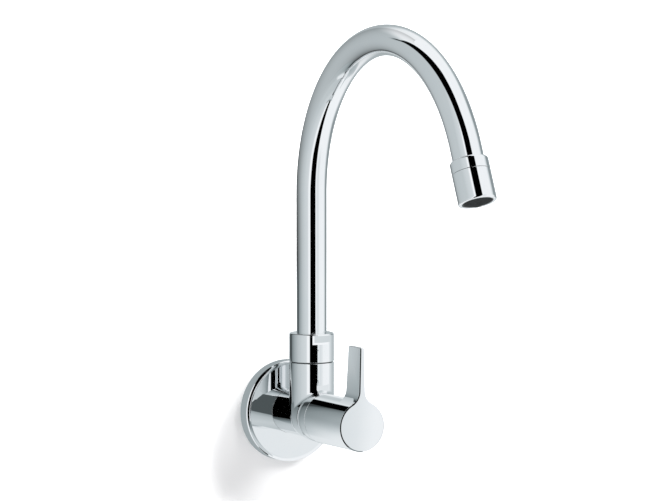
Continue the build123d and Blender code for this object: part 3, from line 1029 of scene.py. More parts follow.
@dataclass
class Spout:
    """Arched tube, its end ring, the aerator's housing and the fine screen in its mouth."""

    offset: float = SWIVEL_OFFSET
    tube_radius: float = 11.0
    wall: float = 1.5
    fit: float = 0.05
    room: float = 0.2
    foot: float = 53.85
    arc_start: float = 161.3
    arc_radius: float = 114.0
    tilt: float = math.radians(24.0)
    tube_end: float = 16.2
    ring_start: float = 10.4
    ring_end: float = 19.2
    ring_shoulder: float = 1.6
    ring_mouth: float = 0.1
    seam_edge: float = 0.2
    outlet_radius: float = 13.4
    outlet_end: float = 41.0
    thread_radius: float = 11.2
    thread_end: float = 26.0
    mouth_radius: float = 10.7
    mouth_edge: float = 0.4
    end_bend: float = 1.2
    shoulder: float = 29.65
    weld: float = 0.02
    path_points: int = 300
    round_points: int = 96
    screen_at: float = 40.25
    screen_radius: float = 10.65
    screen_frame: float = 0.9
    screen_pitch: float = 0.9
    screen_wire: float = 0.12
    screen_sharp: float = math.radians(50)
    wire_points: int = 120
    wire_sides: int = 6
    frame_sides: int = 10
    frame_flat: float = 0.5

    def outlet_place(self) -> Matrix:
        """Works out where the arc ends.

        Returns:
            Place there, with Z along the straight outlet.
        """
        out = self.offset + self.arc_radius * (1 + math.cos(self.tilt))
        up = self.arc_start + self.arc_radius * math.sin(self.tilt)
        z = Vector((0, -math.sin(self.tilt), -math.cos(self.tilt)))
        x = Vector((1, 0, 0))
        turn = Matrix((x, z.cross(x), z)).transposed().to_4x4()
        return Matrix.Translation((0, -out * MM, up * MM)) @ turn

    def build(self) -> None:
        """Makes the spout's pieces in place of their nodes."""
        self.tube()
        self.end_ring()
        self.housing()
        self.screen()

    def tube(self) -> None:
        """Makes the bent tube with a recipe that runs a ring along leg, arc and tail."""
        recipe = Recipe(
            "arch_tube",
            {
                "Radius": (self.tube_radius - self.fit) * MM,
                "Wall": self.wall * MM,
                "Leg": (self.arc_start - self.foot) * MM,
                "Arc Radius": self.arc_radius * MM,
                "Sweep": math.pi - self.tilt,
                "Tail": self.tube_end * MM,
                "Path Points": self.path_points,
                "Round Points": self.round_points,
            },
            Slot.CHROME,
        )
        given, graph = recipe.given, recipe.graph
        path = self.path(graph, given)
        skins = []
        for radius in (given["Radius"], graph.math("SUBTRACT", given["Radius"], given["Wall"])):
            skins.append(self.along(graph, path, given["Round Points"], radius))
        outer, inner = skins
        beside = graph.add("GeometryNodeInputMeshEdgeNeighbors").outputs[0]
        rims = graph.add("FunctionNodeCompare", {"data_type": "INT", "operation": "EQUAL"})
        graph.feed(rims.inputs[2], beside)
        rims.inputs[3].default_value = 1
        normal = graph.add("GeometryNodeInputNormal").outputs[0]
        ends = graph.add(
            "GeometryNodeExtrudeMesh",
            {"mode": "EDGES"},
            Mesh=outer,
            Selection=rims.outputs[0],
            Offset=normal,
            Offset_Scale=graph.math("MULTIPLY", given["Wall"], -1.0),
        )
        joined = graph.add("GeometryNodeJoinGeometry")
        for skin in (ends.outputs[0], inner):
            graph.tree.links.new(skin, joined.inputs[0])
        welded = graph.welded(joined.outputs[0], self.weld)
        place = Matrix.Translation((0, -self.offset * MM, self.foot * MM))
        piece = soften(recipe.result(welded, place))
        dressed(piece, Body.SPOUT, Slot.CHROME, ["spout_tube"])

    @staticmethod
    def along(graph: Graph, path: Socket, points: Value, radius: Value, caps: bool = False) -> Socket:
        """Runs a round section along a curve.

        Args:
            graph: The recipe's graph.
            path: The curve.
            points: Number of points round the section.
            radius: Its radius in metres.
            caps: Whether the ends are closed.

        Returns:
            Socket of the mesh.
        """
        ring = graph.add("GeometryNodeCurvePrimitiveCircle", Resolution=points, Radius=radius)
        section = {"Profile_Curve": ring.outputs[0], "Fill_Caps": caps}
        return graph.add("GeometryNodeCurveToMesh", Curve=path, **section).outputs[0]

    def path(self, graph: Graph, given: Outputs) -> Socket:
        """Draws the tube's middle line: straight leg, arc, straight tail.

        Args:
            graph: The recipe's graph.
            given: The recipe's inputs.

        Returns:
            Socket of the curve.
        """
        line = graph.add("GeometryNodeMeshLine", {"mode": "OFFSET"}, Count=given["Path Points"])
        curve = graph.add("GeometryNodeMeshToCurve", Mesh=line.outputs[0]).outputs[0]
        last = graph.math("SUBTRACT", given["Path Points"], 1.0)
        share = graph.math("DIVIDE", graph.add("GeometryNodeInputIndex").outputs[0], last)
        bend = graph.math("MULTIPLY", given["Arc Radius"], given["Sweep"])
        before_tail = graph.math("ADD", given["Leg"], bend)
        along = graph.math("MULTIPLY", share, graph.math("ADD", before_tail, given["Tail"]))
        leg = graph.math("MINIMUM", along, given["Leg"])
        turned = graph.math("DIVIDE", graph.math("SUBTRACT", along, given["Leg"]), given["Arc Radius"])
        turned = graph.math("MINIMUM", graph.math("MAXIMUM", turned, 0.0), given["Sweep"])
        tail = graph.math("MAXIMUM", graph.math("SUBTRACT", along, before_tail), 0.0)
        out = graph.math("SUBTRACT", 1.0, graph.math("COSINE", turned))
        out = graph.math("MULTIPLY", given["Arc Radius"], out)
        out = graph.math("MULTIPLY_ADD", tail, graph.math("SINE", given["Sweep"]), out)
        up = graph.math("MULTIPLY_ADD", given["Arc Radius"], graph.math("SINE", turned), leg)
        up = graph.math("MULTIPLY_ADD", tail, graph.math("COSINE", given["Sweep"]), up)
        spot = graph.vector(Y=graph.math("MULTIPLY", out, -1.0), Z=up)
        return graph.add("GeometryNodeSetPosition", Geometry=curve, Position=spot).outputs[0]

    def end_ring(self) -> None:
        """Makes the ring over the tube's end and its thread for the housing."""
        bore = self.tube_radius + self.fit
        way = self.tube_radius - self.wall
        corners = (
            Corner(bore, self.ring_start, self.ring_mouth),
            Corner(self.outlet_radius, self.ring_start, self.ring_shoulder),
            Corner(self.outlet_radius, self.ring_end, self.seam_edge),
            Corner(self.thread_radius, self.ring_end),
            Corner(self.thread_radius, self.thread_end),
            Corner(way, self.thread_end),
            Corner(way, self.tube_end + self.room),
            Corner(bore, self.tube_end + self.room),
        )
        piece = turned_piece("outlet_ring", self.outlet_place(), corners)
        dressed(piece, Body.SPOUT, Slot.CHROME, ["spout_end_ring"])

    def housing(self) -> None:
        """Makes the aerator's sleeve with its rounded mouth."""
        bore, start = self.thread_radius + self.fit, self.ring_end + self.room
        corners = (
            Corner(bore, start),
            Corner(self.outlet_radius, start, self.seam_edge),
            Corner(self.outlet_radius, self.outlet_end, self.end_bend),
            Corner(self.mouth_radius, self.outlet_end, self.mouth_edge),
            Corner(self.mouth_radius, self.shoulder),
            Corner(bore, self.shoulder),
        )
        piece = turned_piece("outlet_sleeve", self.outlet_place(), corners)
        dressed(piece, Body.SPOUT, Slot.CHROME, ["aerator_housing"])

    def screen(self) -> None:
        """Makes the woven screen in the mouth: two crossed sets of wires in a round frame."""
        reach = self.screen_radius - self.screen_frame / 2
        recipe = Recipe(
            "mouth_screen",
            {
                "Pitch": self.screen_pitch * MM,
                "Reach": reach * MM,
                "Wire": self.screen_wire * MM,
                "Wires": 2 * int(reach / self.screen_pitch) + 1,
                "Points": self.wire_points,
                "Frame": self.screen_frame / 2 * MM,
            },
            Slot.BLACK_PLASTIC,
        )
        given, graph = recipe.given, recipe.graph
        wires = self.wires(graph, given)
        turn = (math.pi, 0, math.pi / 2)
        crossed = graph.add("GeometryNodeTransform", Geometry=wires, Rotation=turn).outputs[0]
        middle = graph.add(
            "GeometryNodeCurvePrimitiveCircle", Resolution=self.round_points, Radius=given["Reach"]
        )
        frame = self.along(graph, middle.outputs[0], self.frame_sides, given["Frame"])
        flat = graph.add("GeometryNodeTransform", Geometry=frame, Scale=(1, 1, self.frame_flat)).outputs[0]
        joined = graph.add("GeometryNodeJoinGeometry")
        for part in (wires, crossed, flat):
            graph.tree.links.new(part, joined.inputs[0])
        place = self.outlet_place() @ Matrix.Translation((0, 0, self.screen_at * MM))
        piece = soften(recipe.result(joined.outputs[0], place), self.screen_sharp)
        dressed(piece, Body.SPOUT, Slot.BLACK_PLASTIC, ["aerator_screen"])

    def wires(self, graph: Graph, given: Outputs) -> Socket:
        """Draws one set of parallel wires that wave over and under the other set.

        Args:
            graph: The recipe's graph.
            given: The recipe's inputs.

        Returns:
            Socket of the wires' mesh.
        """
        half = graph.math("DIVIDE", graph.math("SUBTRACT", given["Wires"], 1.0), 2.0)
        start = graph.product(half, given["Pitch"], -1.0)
        row = graph.add(
            "GeometryNodeMeshLine",
            {"mode": "OFFSET"},
            Count=given["Wires"],
            Start_Location=graph.vector(X=start),
            Offset=graph.vector(X=given["Pitch"]),
        )
        line = graph.add("GeometryNodeCurvePrimitiveLine", Start=(0, -1, 0), End=(0, 1, 0)).outputs[0]
        line = graph.add("GeometryNodeResampleCurve", Curve=line, Count=given["Points"]).outputs[0]
        across = graph.position()["X"]
        square = graph.math("MULTIPLY", given["Reach"], given["Reach"])
        square = graph.math("SUBTRACT", square, graph.math("MULTIPLY", across, across))
        chord = graph.math("SQRT", graph.math("MAXIMUM", square, 0.0))
        scale = graph.vector(X=1.0, Y=chord, Z=1.0)
        laid = graph.add("GeometryNodeInstanceOnPoints", Points=row.outputs[0], Instance=line, Scale=scale)
        real = graph.add("GeometryNodeRealizeInstances", Geometry=laid.outputs[0]).outputs[0]
        place = graph.position()
        phase = graph.math("DIVIDE", graph.math("ADD", place["X"], place["Y"]), given["Pitch"])
        wave = graph.math("COSINE", graph.math("MULTIPLY", phase, math.pi))
        lift = graph.vector(Z=graph.math("MULTIPLY", wave, given["Wire"]))
        waved = graph.add("GeometryNodeSetPosition", Geometry=real, Offset=lift).outputs[0]
        return self.along(graph, waved, self.wire_sides, given["Wire"], caps=True)


@dataclass
class Lever:
    """Round hub whose front runs up into a slender stem, with a small hole underneath."""

    radius: float = HUB_RADIUS
    back: float = 62.4
    seam_edge: float = 0.15
    paddle_back: float = 96.1
    front: float = 115.3
    edge: float = 0.55
    edge_round: float = 0.2
    edge_lean: float = math.radians(25)
    top: float = 56.5
    top_half: float = 1.7
    top_corner: float = 1.0
    foot: float = 26.0
    foot_half: float = 2.4
    blend: float = 11.0
    back_taper: float = 2.2
    taper_room: float = 1.0
    bore: float = 16.0
    socket_start: float = 88.0
    socket_radius: float = 8.05
    socket_end: float = 98.4
    hole_at: float = 92.0
    hole_radius: float = 2.55
    hole_floor: float = 13.6
    hole_room: float = 3.1
    crown: float = 0.08
    side_hollow: float = 0.62
    front_hollow: float = 0.186
    columns: int = 16
    disc_steps: int = 60
    blend_steps: int = 18
    corner_steps: int = 8
    edge_steps: int = 4
    hole_steps: int = 8
    skin: Skin = field(default_factory=Skin)

    @property
    def tangent(self) -> int:
        """Place in the outline at which the disc ends and the blend begins."""
        return self.disc_steps

    @property
    def stem_foot(self) -> int:
        """Place in the outline at which the blend ends and the stem begins."""
        return self.disc_steps + self.blend_steps

    def build(self) -> None:
        """Makes the lever in place of its node."""
        self.walls()
        self.front_face()
        self.stem_back()
        self.hub()
        self.screw_hole()
        dressed(self.skin.build("lever"), Body.HANDLE, Slot.CHROME, ["lever_handle"])

    @cached_property
    def half(self) -> list[Spot]:
        """Right half of the front view: disc, concave blend, stem and its top corner.

        Returns:
            Points from the bottom up, with outward normals.
        """
        middle = Vector((self.foot_half + self.blend, 0))
        middle.y = math.sqrt((self.radius + self.blend) ** 2 - middle.x**2)
        meet = math.atan2(middle.y, middle.x)
        half = []
        for i in range(self.disc_steps + 1):
            angle = -math.pi / 2 + (meet + math.pi / 2) * i / self.disc_steps
            ray = Vector((math.cos(angle), math.sin(angle)))
            half.append((ray * self.radius, ray))
        for i in range(1, self.blend_steps + 1):
            angle = math.pi + meet * (1 - i / self.blend_steps)
            ray = Vector((math.cos(angle), math.sin(angle)))
            half.append((middle + ray * self.blend, -ray))
        slope = (self.foot_half - self.top_half) / (self.top - self.foot)
        lean = math.atan(slope)
        across = self.top_half + slope * self.top_corner - self.top_corner
        centre = Vector((across, self.top - self.top_corner))
        for i in range(self.corner_steps + 1):
            angle = lean + (math.pi / 2 - lean) * i / self.corner_steps
            ray = Vector((math.cos(angle), math.sin(angle)))
            half.append((centre + ray * self.top_corner, ray))
        return half

    @cached_property
    def outline(self) -> list[Spot]:
        """Front view closed over the stem's top.

        Returns:
            Points from the bottom, up the right side and down the left one.
        """
        end = self.half[-1][0]
        across = [
            (Vector((end.x * (1 - 2 * k / self.columns), end.y)), Vector((0, 1)))
            for k in range(1, self.columns)
        ]
        mirrored = [(Vector((-p.x, p.y)), Vector((-n.x, n.y))) for p, n in reversed(self.half)]
        return self.half + across + mirrored

    def crowned(self, point: Vector) -> Vector:
        """Works out the slight crown of the front.

        Args:
            point: A point of the front view.

        Returns:
            Normal there.
        """
        side = point.x / self.radius
        rise = min(point.y / self.radius, 1.0)
        return Vector((side * self.crown, -1, rise * self.crown)).normalized()

    def stem_start(self, height: float) -> float:
        """How far out the paddle's back face lies at a height."""
        above = max(0.0, height - self.foot)
        return self.paddle_back + self.back_taper * above / (self.top + self.taper_room - self.foot)

    def side_lean(self, height: float, at_back: bool) -> float:
        """How far the ground side of the stem faces forward at a height."""
        rise = max(0.0, min(1.0, (height - self.radius) / (self.top - self.radius)))
        return rise * (self.side_hollow if at_back else self.front_hollow)

    def walls(self) -> None:
        """Adds the paddle's side walls and the rounded edge of its front."""
        stem = self.outline[self.tangent : len(self.outline) - self.tangent]
        rows = []
        for start in (True, False):
            rows.append([])
            for point, normal in stem:
                depth = self.stem_start(point.y) if start else self.front - self.edge
                lean = self.side_lean(point.y, start) * abs(normal.x)
                facing = Vector((normal.x, -lean, normal.y))
                rows[-1].append((Vector((point.x, -depth, point.y)), facing))
        self.skin.grid(rows)
        for strip in self.edge_strips():
            rows = []
            for turn, inset, drop in strip:
                rows.append([])
                for point, normal in self.outline:
                    spot = point - normal * inset
                    facing = Vector((normal.x, 0, normal.y)) * math.cos(turn)
                    facing += self.crowned(spot) * math.sin(turn)
                    rows[-1].append((Vector((spot.x, drop - self.front, spot.y)), facing))
            self.skin.grid(rows)

    def edge_strips(self) -> list[list[Point3]]:
        """Profile of the front's edge: a small round, then a shallow bevel.

        Returns:
            Strips of normal's turn, distance in from the outline and depth below the front.
        """
        ends = math.pi / 2 - self.edge_lean
        small = []
        for i in range(self.edge_steps + 1):
            turn = ends * i / self.edge_steps
            inset = self.edge_round * (1 - math.cos(turn))
            small.append((turn, inset, self.edge - self.edge_round * math.sin(turn)))
        turn, inset, drop = small[-1]
        return [small, [(turn, inset, drop), (turn, self.face_inset(), 0.0)]]

    def face_inset(self) -> float:
        """Works out the width of the front's edge.

        Returns:
            How far in from the outline the front face begins.
        """
        ends = math.pi / 2 - self.edge_lean
        drop = self.edge - self.edge_round * math.sin(ends)
        return self.edge_round * (1 - math.cos(ends)) + drop / math.tan(self.edge_lean)

    def front_face(self) -> None:
        """Adds the front face in level rows."""
        rows = []
        for point, normal in self.half:
            spot = point - normal * self.face_inset()
            across = [Vector((x, spot.y)) for x in spread((spot.x, -spot.x), self.columns)]
            rows.append([(Vector((at.x, -self.front, at.y)), self.crowned(at)) for at in across])
        self.skin.grid(rows)

    def stem_back(self) -> None:
        """Adds the flat back of the paddle, round the hub's top and up the stem."""
        back = Vector((0, 1, 0))
        root = self.half[self.tangent : self.stem_foot + 1]
        count = len(root) - 1
        meet = math.atan2(root[0][0].y, root[0][0].x)
        for side in (1, -1):
            outer = [Vector((side * p.x, -self.stem_start(p.y), p.y)) for p, _ in root]
            inner = []
            for i in range(count + 1):
                angle = meet + (math.pi / 2 - meet) * i / count
                spot = Vector((side * self.radius * math.cos(angle), 0, self.radius * math.sin(angle)))
                if i == count:
                    spot.x = 0
                inner.append(spot - Vector((0, self.paddle_back, 0)))
            self.skin.grid([[(p, back) for p in outer], [(p, back) for p in inner]])
        foot = self.half[self.stem_foot][0]
        pair = [Vector((side * foot.x, -self.paddle_back, foot.y)) for side in (-1, 1)]
        self.skin.flat([*pair, Vector((0, -self.paddle_back, self.radius))], back)
        rows = []
        for point, _ in self.half[self.stem_foot :]:
            depth = self.stem_start(point.y)
            rows.append([(Vector((side * point.x, -depth, point.y)), back) for side in (-1, 1)])
        self.skin.grid(rows[:-1])
        end = self.half[-1][0]
        last = [point for point, _ in rows[-2]]
        for k in range(self.columns + 1):
            last.append(Vector((end.x * (1 - 2 * k / self.columns), -self.stem_start(end.y), end.y)))
        self.skin.flat(last, back)

    @cached_property
    def turns(self) -> list[float]:
        """Angles that the hub's rings are drawn at.

        Returns:
            Angles from straight down, up the right side and down the left one.
        """
        low = [math.atan2(p.y, p.x) for p, _ in self.half[: self.tangent + 1]]
        rest = math.pi / 2 - low[-1]
        right = low + [low[-1] + rest * i / self.blend_steps for i in range(1, self.blend_steps)]
        return right + [math.pi / 2] + [math.pi - angle for angle in reversed(right[1:])]

    def hoop(self, radius: float, depth: float, facing: Point2) -> list[Spot]:
        """Draws one ring round the level axis.

        Args:
            radius: Radius of the ring.
            depth: How far out of the wall it lies.
            facing: Its normals' outward and wallward parts.

        Returns:
            Its points with their normals.
        """
        row = []
        for angle in self.turns:
            c, s = math.cos(angle), math.sin(angle)
            normal = Vector((c * facing[0], facing[1], s * facing[0]))
            row.append((Vector((radius * c, -depth, radius * s)), normal))
        return row

    def hub(self) -> None:
        """Adds the hub's outside, its back edge, its bore and its socket."""
        rings = [self.hoop(self.radius, depth, (1, 0)) for depth in self.levels()]
        count = len(rings[0])
        for band, (low, high) in enumerate(zip(rings, rings[1:])):
            for i in range(count):
                j = (i + 1) % count
                hole = band == 1 and min(i, count - 1 - i) < self.hole_steps // 2
                root = band == 3 and self.tangent <= i < count - self.tangent
                if not hole and not root:
                    self.skin.patch(low[i], low[j], high[j], high[i])
        wall, out = (0, 1), (1, 0)
        first, last = (self.radius, self.back + self.seam_edge), (self.radius - self.seam_edge, self.back)
        self.skin.grid([self.hoop(*first, out), self.hoop(*last, wall)], wrap=True)
        places = (
            last,
            (self.bore, self.back),
            (self.bore, self.socket_start),
            (self.socket_radius, self.socket_start),
            (self.socket_radius, self.socket_end),
        )
        for i, pair in enumerate(zip(places, places[1:])):
            facing = (-1, 0) if i % 2 else wall
            self.skin.grid([self.hoop(*place, facing) for place in pair], wrap=True)
        floor = self.hoop(*places[-1], wall)
        self.skin.flat([point for point, _ in floor], Vector((0, 1, 0)))

    def levels(self) -> tuple[float, ...]:
        """Distances out of the wall at which the hub's outside is divided."""
        low, high = self.hole_at - self.hole_room, self.hole_at + self.hole_room
        return (self.back + self.seam_edge, low, high, self.paddle_back, self.front - self.edge)

    def on_hub(self, angle: float, depth: float) -> Spot:
        """Point and normal of the hub's outside at an angle and a distance out of the wall."""
        ray = Vector((math.cos(angle), 0, math.sin(angle)))
        return ray * self.radius - Vector((0, depth, 0)), ray

    def on_hole(self, k: int) -> Spot:
        """Finds a point of the screw hole's rim.

        Args:
            k: Which one, of four sides of hole_steps each.

        Returns:
            The point, with the hub's normal there.
        """
        turn = math.pi / 4 + math.pi / 2 * k / self.hole_steps
        x, depth = self.hole_radius * math.cos(turn), self.hole_at + self.hole_radius * math.sin(turn)
        z = -math.sqrt(self.radius**2 - x * x)
        return Vector((x, -depth, z)), Vector((x, 0, z)) / self.radius

    def screw_hole(self) -> None:
        """Adds the hub's skin round the screw hole, and the hole's wall and floor."""
        steps = self.hole_steps
        angles = self.turns[: steps // 2 + 1]
        turns = [-math.pi - angle for angle in reversed(angles[1:])] + angles
        low, high = self.levels()[1:3]
        rim = [self.on_hole(k) for k in range(4 * steps + 1)]
        for i in range(steps):
            left, right = turns[steps - i - 1], turns[steps - i]
            self.skin.patch(self.on_hub(right, high), self.on_hub(left, high), rim[i + 1], rim[i])
            left, right = turns[i], turns[i + 1]
            begin = 2 * steps + i
            self.skin.patch(self.on_hub(left, low), self.on_hub(right, low), rim[begin + 1], rim[begin])
        for side, near, far, begin in ((turns[0], high, low, steps), (turns[-1], low, high, 3 * steps)):
            for i in range(steps):
                corner = self.on_hub(side, near if i < steps // 2 else far)
                self.skin.patch(rim[begin + i], rim[begin + i + 1], corner)
            self.skin.patch(rim[begin + steps // 2], self.on_hub(side, near), self.on_hub(side, far))
        rows: list[list[Spot]] = [[], []]
        for point, _ in rim[:-1]:
            inward = Vector((-point.x, -(point.y + self.hole_at), 0)).normalized()
            rows[0].append((point, inward))
            rows[1].append((Vector((point.x, point.y, -self.hole_floor)), inward))
        self.skin.grid(rows, wrap=True)
        self.skin.flat([point for point, _ in rows[1]], Vector((0, 0, -1)))


@dataclass
class InletNipple:
    """Tail that screws into the wall: a turned core with a half-inch pipe thread on it."""

    crest: float = 10.48
    depth: float = 1.16
    pitch: float = 1.814
    thread_start: float = -15.6
    thread_length: float = 15.2
    core: float = 9.2
    tail: float = -16.0
    relief: float = 9.6
    relief_end: float = 3.0
    end: float = 13.5
    way: float = 6.4
    strainer: float = 8.05
    strainer_floor: float = -14.8
    socket: float = 7.0
    socket_depth: float = 7.0
    tip: float = 0.3
    shoulder: float = 0.2
    tuck: float = 0.25
    mesh_points: int = 121
    weld: float = 0.005
    last_row: float = 0.9999
    flank: Point2 = (2.6, -0.15)
    run_in: Point2 = (0.0, 0.09)
    run_out: Point2 = (0.92, 0.99)
    sharp: float = math.radians(40)

    def build(self) -> None:
        """Makes the core in place of its node, and the thread on it."""
        corners = (
            Corner(self.way, self.strainer_floor),
            Corner(self.strainer, self.strainer_floor),
            Corner(self.strainer, self.tail),
            Corner(self.core - self.tip, self.tail),
            Corner(self.core, self.tail + self.tip),
            Corner(self.core, -self.tip - self.shoulder),
            Corner(self.crest, -self.tip),
            Corner(self.crest, 0),
            Corner(self.relief, 0),
            Corner(self.relief, self.relief_end),
            Corner(self.crest, self.relief_end),
            Corner(self.crest, self.end),
            Corner(self.socket, self.end),
            Corner(self.socket, self.end - self.socket_depth),
            Corner(self.way, self.end - self.socket_depth),
        )
        core = turned_piece("inlet_core", level_place(), corners)
        dressed(core, Body.BODY, Slot.BRASS, ["inlet_nipple"])
        dressed(self.thread(), Body.BODY, Slot.BRASS)

    def thread(self) -> bpy.types.Object:
        """Makes the thread with a recipe that waves a sleeve in and out along a helix.

        Returns:
            The thread, its sleeve closed by a wall inside the core.
        """
        recipe = Recipe(
            "inlet_thread",
            {
                "Root": (self.crest - self.depth) * MM,
                "Depth": self.depth * MM,
                "Pitch": self.pitch * MM,
                "Length": self.thread_length * MM,
                "Tuck": self.tuck * MM,
                "Around": self.mesh_points,
                "Along": self.mesh_points,
            },
            Slot.BRASS,
        )
        given, graph = recipe.given, recipe.graph
        counts = {"Vertices_X": given["Around"], "Vertices_Y": given["Along"]}
        grid = graph.add("GeometryNodeMeshGrid", Size_X=1.0, Size_Y=1.0, **counts).outputs[0]
        place = graph.position()
        round_share = graph.math("ADD", place["X"], 0.5)
        share = graph.math("ADD", place["Y"], 0.5)
        # The last row falls back on the first one, which closes the sleeve from within.
        share = graph.math("MULTIPLY", share, graph.math("LESS_THAN", share, self.last_row))
        radius = self.ridge(graph, given, share, round_share)
        angle = graph.math("MULTIPLY", round_share, FULL_TURN)
        spot = graph.vector(
            X=graph.math("MULTIPLY", radius, graph.math("COSINE", angle)),
            Y=graph.math("MULTIPLY", radius, graph.math("SINE", angle)),
            Z=graph.math("MULTIPLY", share, given["Length"]),
        )
        sleeve = graph.add("GeometryNodeSetPosition", Geometry=grid, Position=spot).outputs[0]
        start = level_place() @ Matrix.Translation((0, 0, self.thread_start * MM))
        return soften(recipe.result(graph.welded(sleeve, self.weld), start), self.sharp)

    def ridge(self, graph: Graph, given: Outputs, share: Socket, round_share: Socket) -> Socket:
        """Draws the ridge's section along the helix, run in and out at its two ends.

        Args:
            graph: The recipe's graph.
            given: The recipe's inputs.
            share: How far along the thread, from 0 to 1.
            round_share: How far round it, from 0 to 1.

        Returns:
            Socket of the radius.
        """
        turns = graph.math("DIVIDE", graph.math("MULTIPLY", share, given["Length"]), given["Pitch"])
        ridge = graph.math("FRACT", graph.math("ADD", turns, round_share))
        ridge = graph.math("ABSOLUTE", graph.math("SUBTRACT", ridge, 0.5))
        ridge = graph.math("MULTIPLY_ADD", ridge, *self.flank, clamp=True)
        run_in = graph.ramp(share, *self.run_in)
        run_out = graph.ramp(share, *self.run_out, to=(1.0, 0.0))
        height = graph.math("MULTIPLY_ADD", ridge, given["Depth"], given["Tuck"])
        low = graph.math("SUBTRACT", given["Root"], given["Tuck"])
        return graph.math("MULTIPLY_ADD", height, graph.math("MULTIPLY", run_in, run_out), low)


# -------------------------------------------------------------------------- the studio
DARK_TINT = (0.82, 1.0, 1.05, 1.0)
PALE_TINT = (0.98, 1.0, 1.02, 1.0)


def cool(graph: Graph, tone: Socket) -> Socket:
    """Gives a grey tone the studio's cool tint, which is strongest in the dark.

    Args:
        graph: Graph of a material or the world.
        tone: The tone.

    Returns:
        Socket of the tinted colour.
    """
    return graph.mix(1.0, graph.mix(tone, DARK_TINT, PALE_TINT), tone, blend="MULTIPLY")


def glow(graph: Graph, tone: Socket) -> Socket:
    """Shader that glows in a cool grey tone, for the painted reflections."""
    return graph.add("ShaderNodeEmission", Color=cool(graph, tone), Strength=1.0).outputs[0]


def one_sided(graph: Graph, front: Socket) -> None:
    """Ends a material that shows a shader in front and nothing from behind.

    Args:
        graph: The material's graph.
        front: Shader of the front.
    """
    clear = graph.add("ShaderNodeBsdfTransparent").outputs[0]
    behind = graph.add("ShaderNodeNewGeometry").outputs["Backfacing"]
    graph.end("ShaderNodeOutputMaterial", graph.shaders(behind, front, clear))


def sheet(name: str, faces: Faces, material: bpy.types.Material) -> bpy.types.Object:
    """Makes a sheet of the stage.

    Args:
        name: Name of the sheet.
        faces: The four corners in mm of each of its faces.
        material: Its material.

    Returns:
        The sheet, marked as stage.
    """
    mesh = bpy.data.meshes.new(name)
    points = [corner * MM for face in faces for corner in face]
    mesh.from_pydata(points, [], [tuple(range(4 * i, 4 * i + 4)) for i in range(len(faces))])
    mesh.materials.append(material)
    made = bpy.data.objects.new(name, mesh)
    bpy.context.scene.collection.objects.link(made)
    return made


def mirrored_only(made: bpy.types.Object) -> None:
    """Hides a sheet from all but the chrome.

    Args:
        made: The sheet.
    """
    made.visible_camera = False
    made.visible_diffuse = False
    made.visible_shadow = False


def upright(across: Point2, out: float, up: Point2) -> list[Vector]:
    """Corners in mm of a card parallel to the wall, facing out of it from left to right."""
    (left, right), (low, high) = across, up
    return [Vector((x, out, z)) for x, z in ((left, low), (right, low), (right, high), (left, high))]


def sideways(x: float, spots: Sequence[Point2]) -> list[Vector]:
    """Corners in mm of a card that stands across the wall."""
    return [Vector((x, y, z)) for y, z in spots]


def between(first: Sequence[Vector], last: Sequence[Vector]) -> list[list[Vector]]:
    """Faces between two rows of points."""
    pairs = list(zip(first, last))
    return [[a, b, d, c] for (a, c), (b, d) in zip(pairs, pairs[1:])]


def level_arc(radius: float, out: float, turns: Iterable[float]) -> list[Vector]:
    """Draws points round the level axis.

    Args:
        radius: How far they are from it.
        out: How far behind the wall's face they are.
        turns: Their angles in degrees from the right horizon.

    Returns:
        The points in mm.
    """
    rays = [(math.cos(math.radians(turn)), math.sin(math.radians(turn))) for turn in turns]
    return [Vector((radius * c, out, radius * s)) for c, s in rays]


@dataclass
class PhotoCamera:
    """Camera at the photograph's angle, in metres and degrees."""

    target: Point3 = (0.0, -0.080, 0.120)
    distance: float = 3.223814
    azimuth: float = -28.832
    elevation: float = 5.1617
    aim_azimuth: float = -28.7703
    aim_elevation: float = 5.1143
    lens: float = 244.32
    sensor: float = 36.0
    sight: float = 100.0

    @staticmethod
    def back(azimuth: float, elevation: float) -> Vector:
        """Direction from the object to a camera at these angles in degrees."""
        a, e = math.radians(azimuth), math.radians(elevation)
        return Vector((math.sin(a) * math.cos(e), -math.cos(a) * math.cos(e), math.sin(e)))

    def build(self) -> None:
        """Sets the camera up."""
        data = bpy.data.cameras.new("photo_camera")
        data.lens = self.lens
        data.sensor_width = self.sensor
        data.clip_end = self.sight
        eye = bpy.data.objects.new("photo_camera", data)
        eye.location = Vector(self.target) + self.back(self.azimuth, self.elevation) * self.distance
        aim = -self.back(self.aim_azimuth, self.aim_elevation)
        eye.rotation_mode = "QUATERNION"
        eye.rotation_quaternion = aim.to_track_quat("-Z", "Y")
        bpy.context.scene.collection.objects.link(eye)
        bpy.context.scene.camera = eye


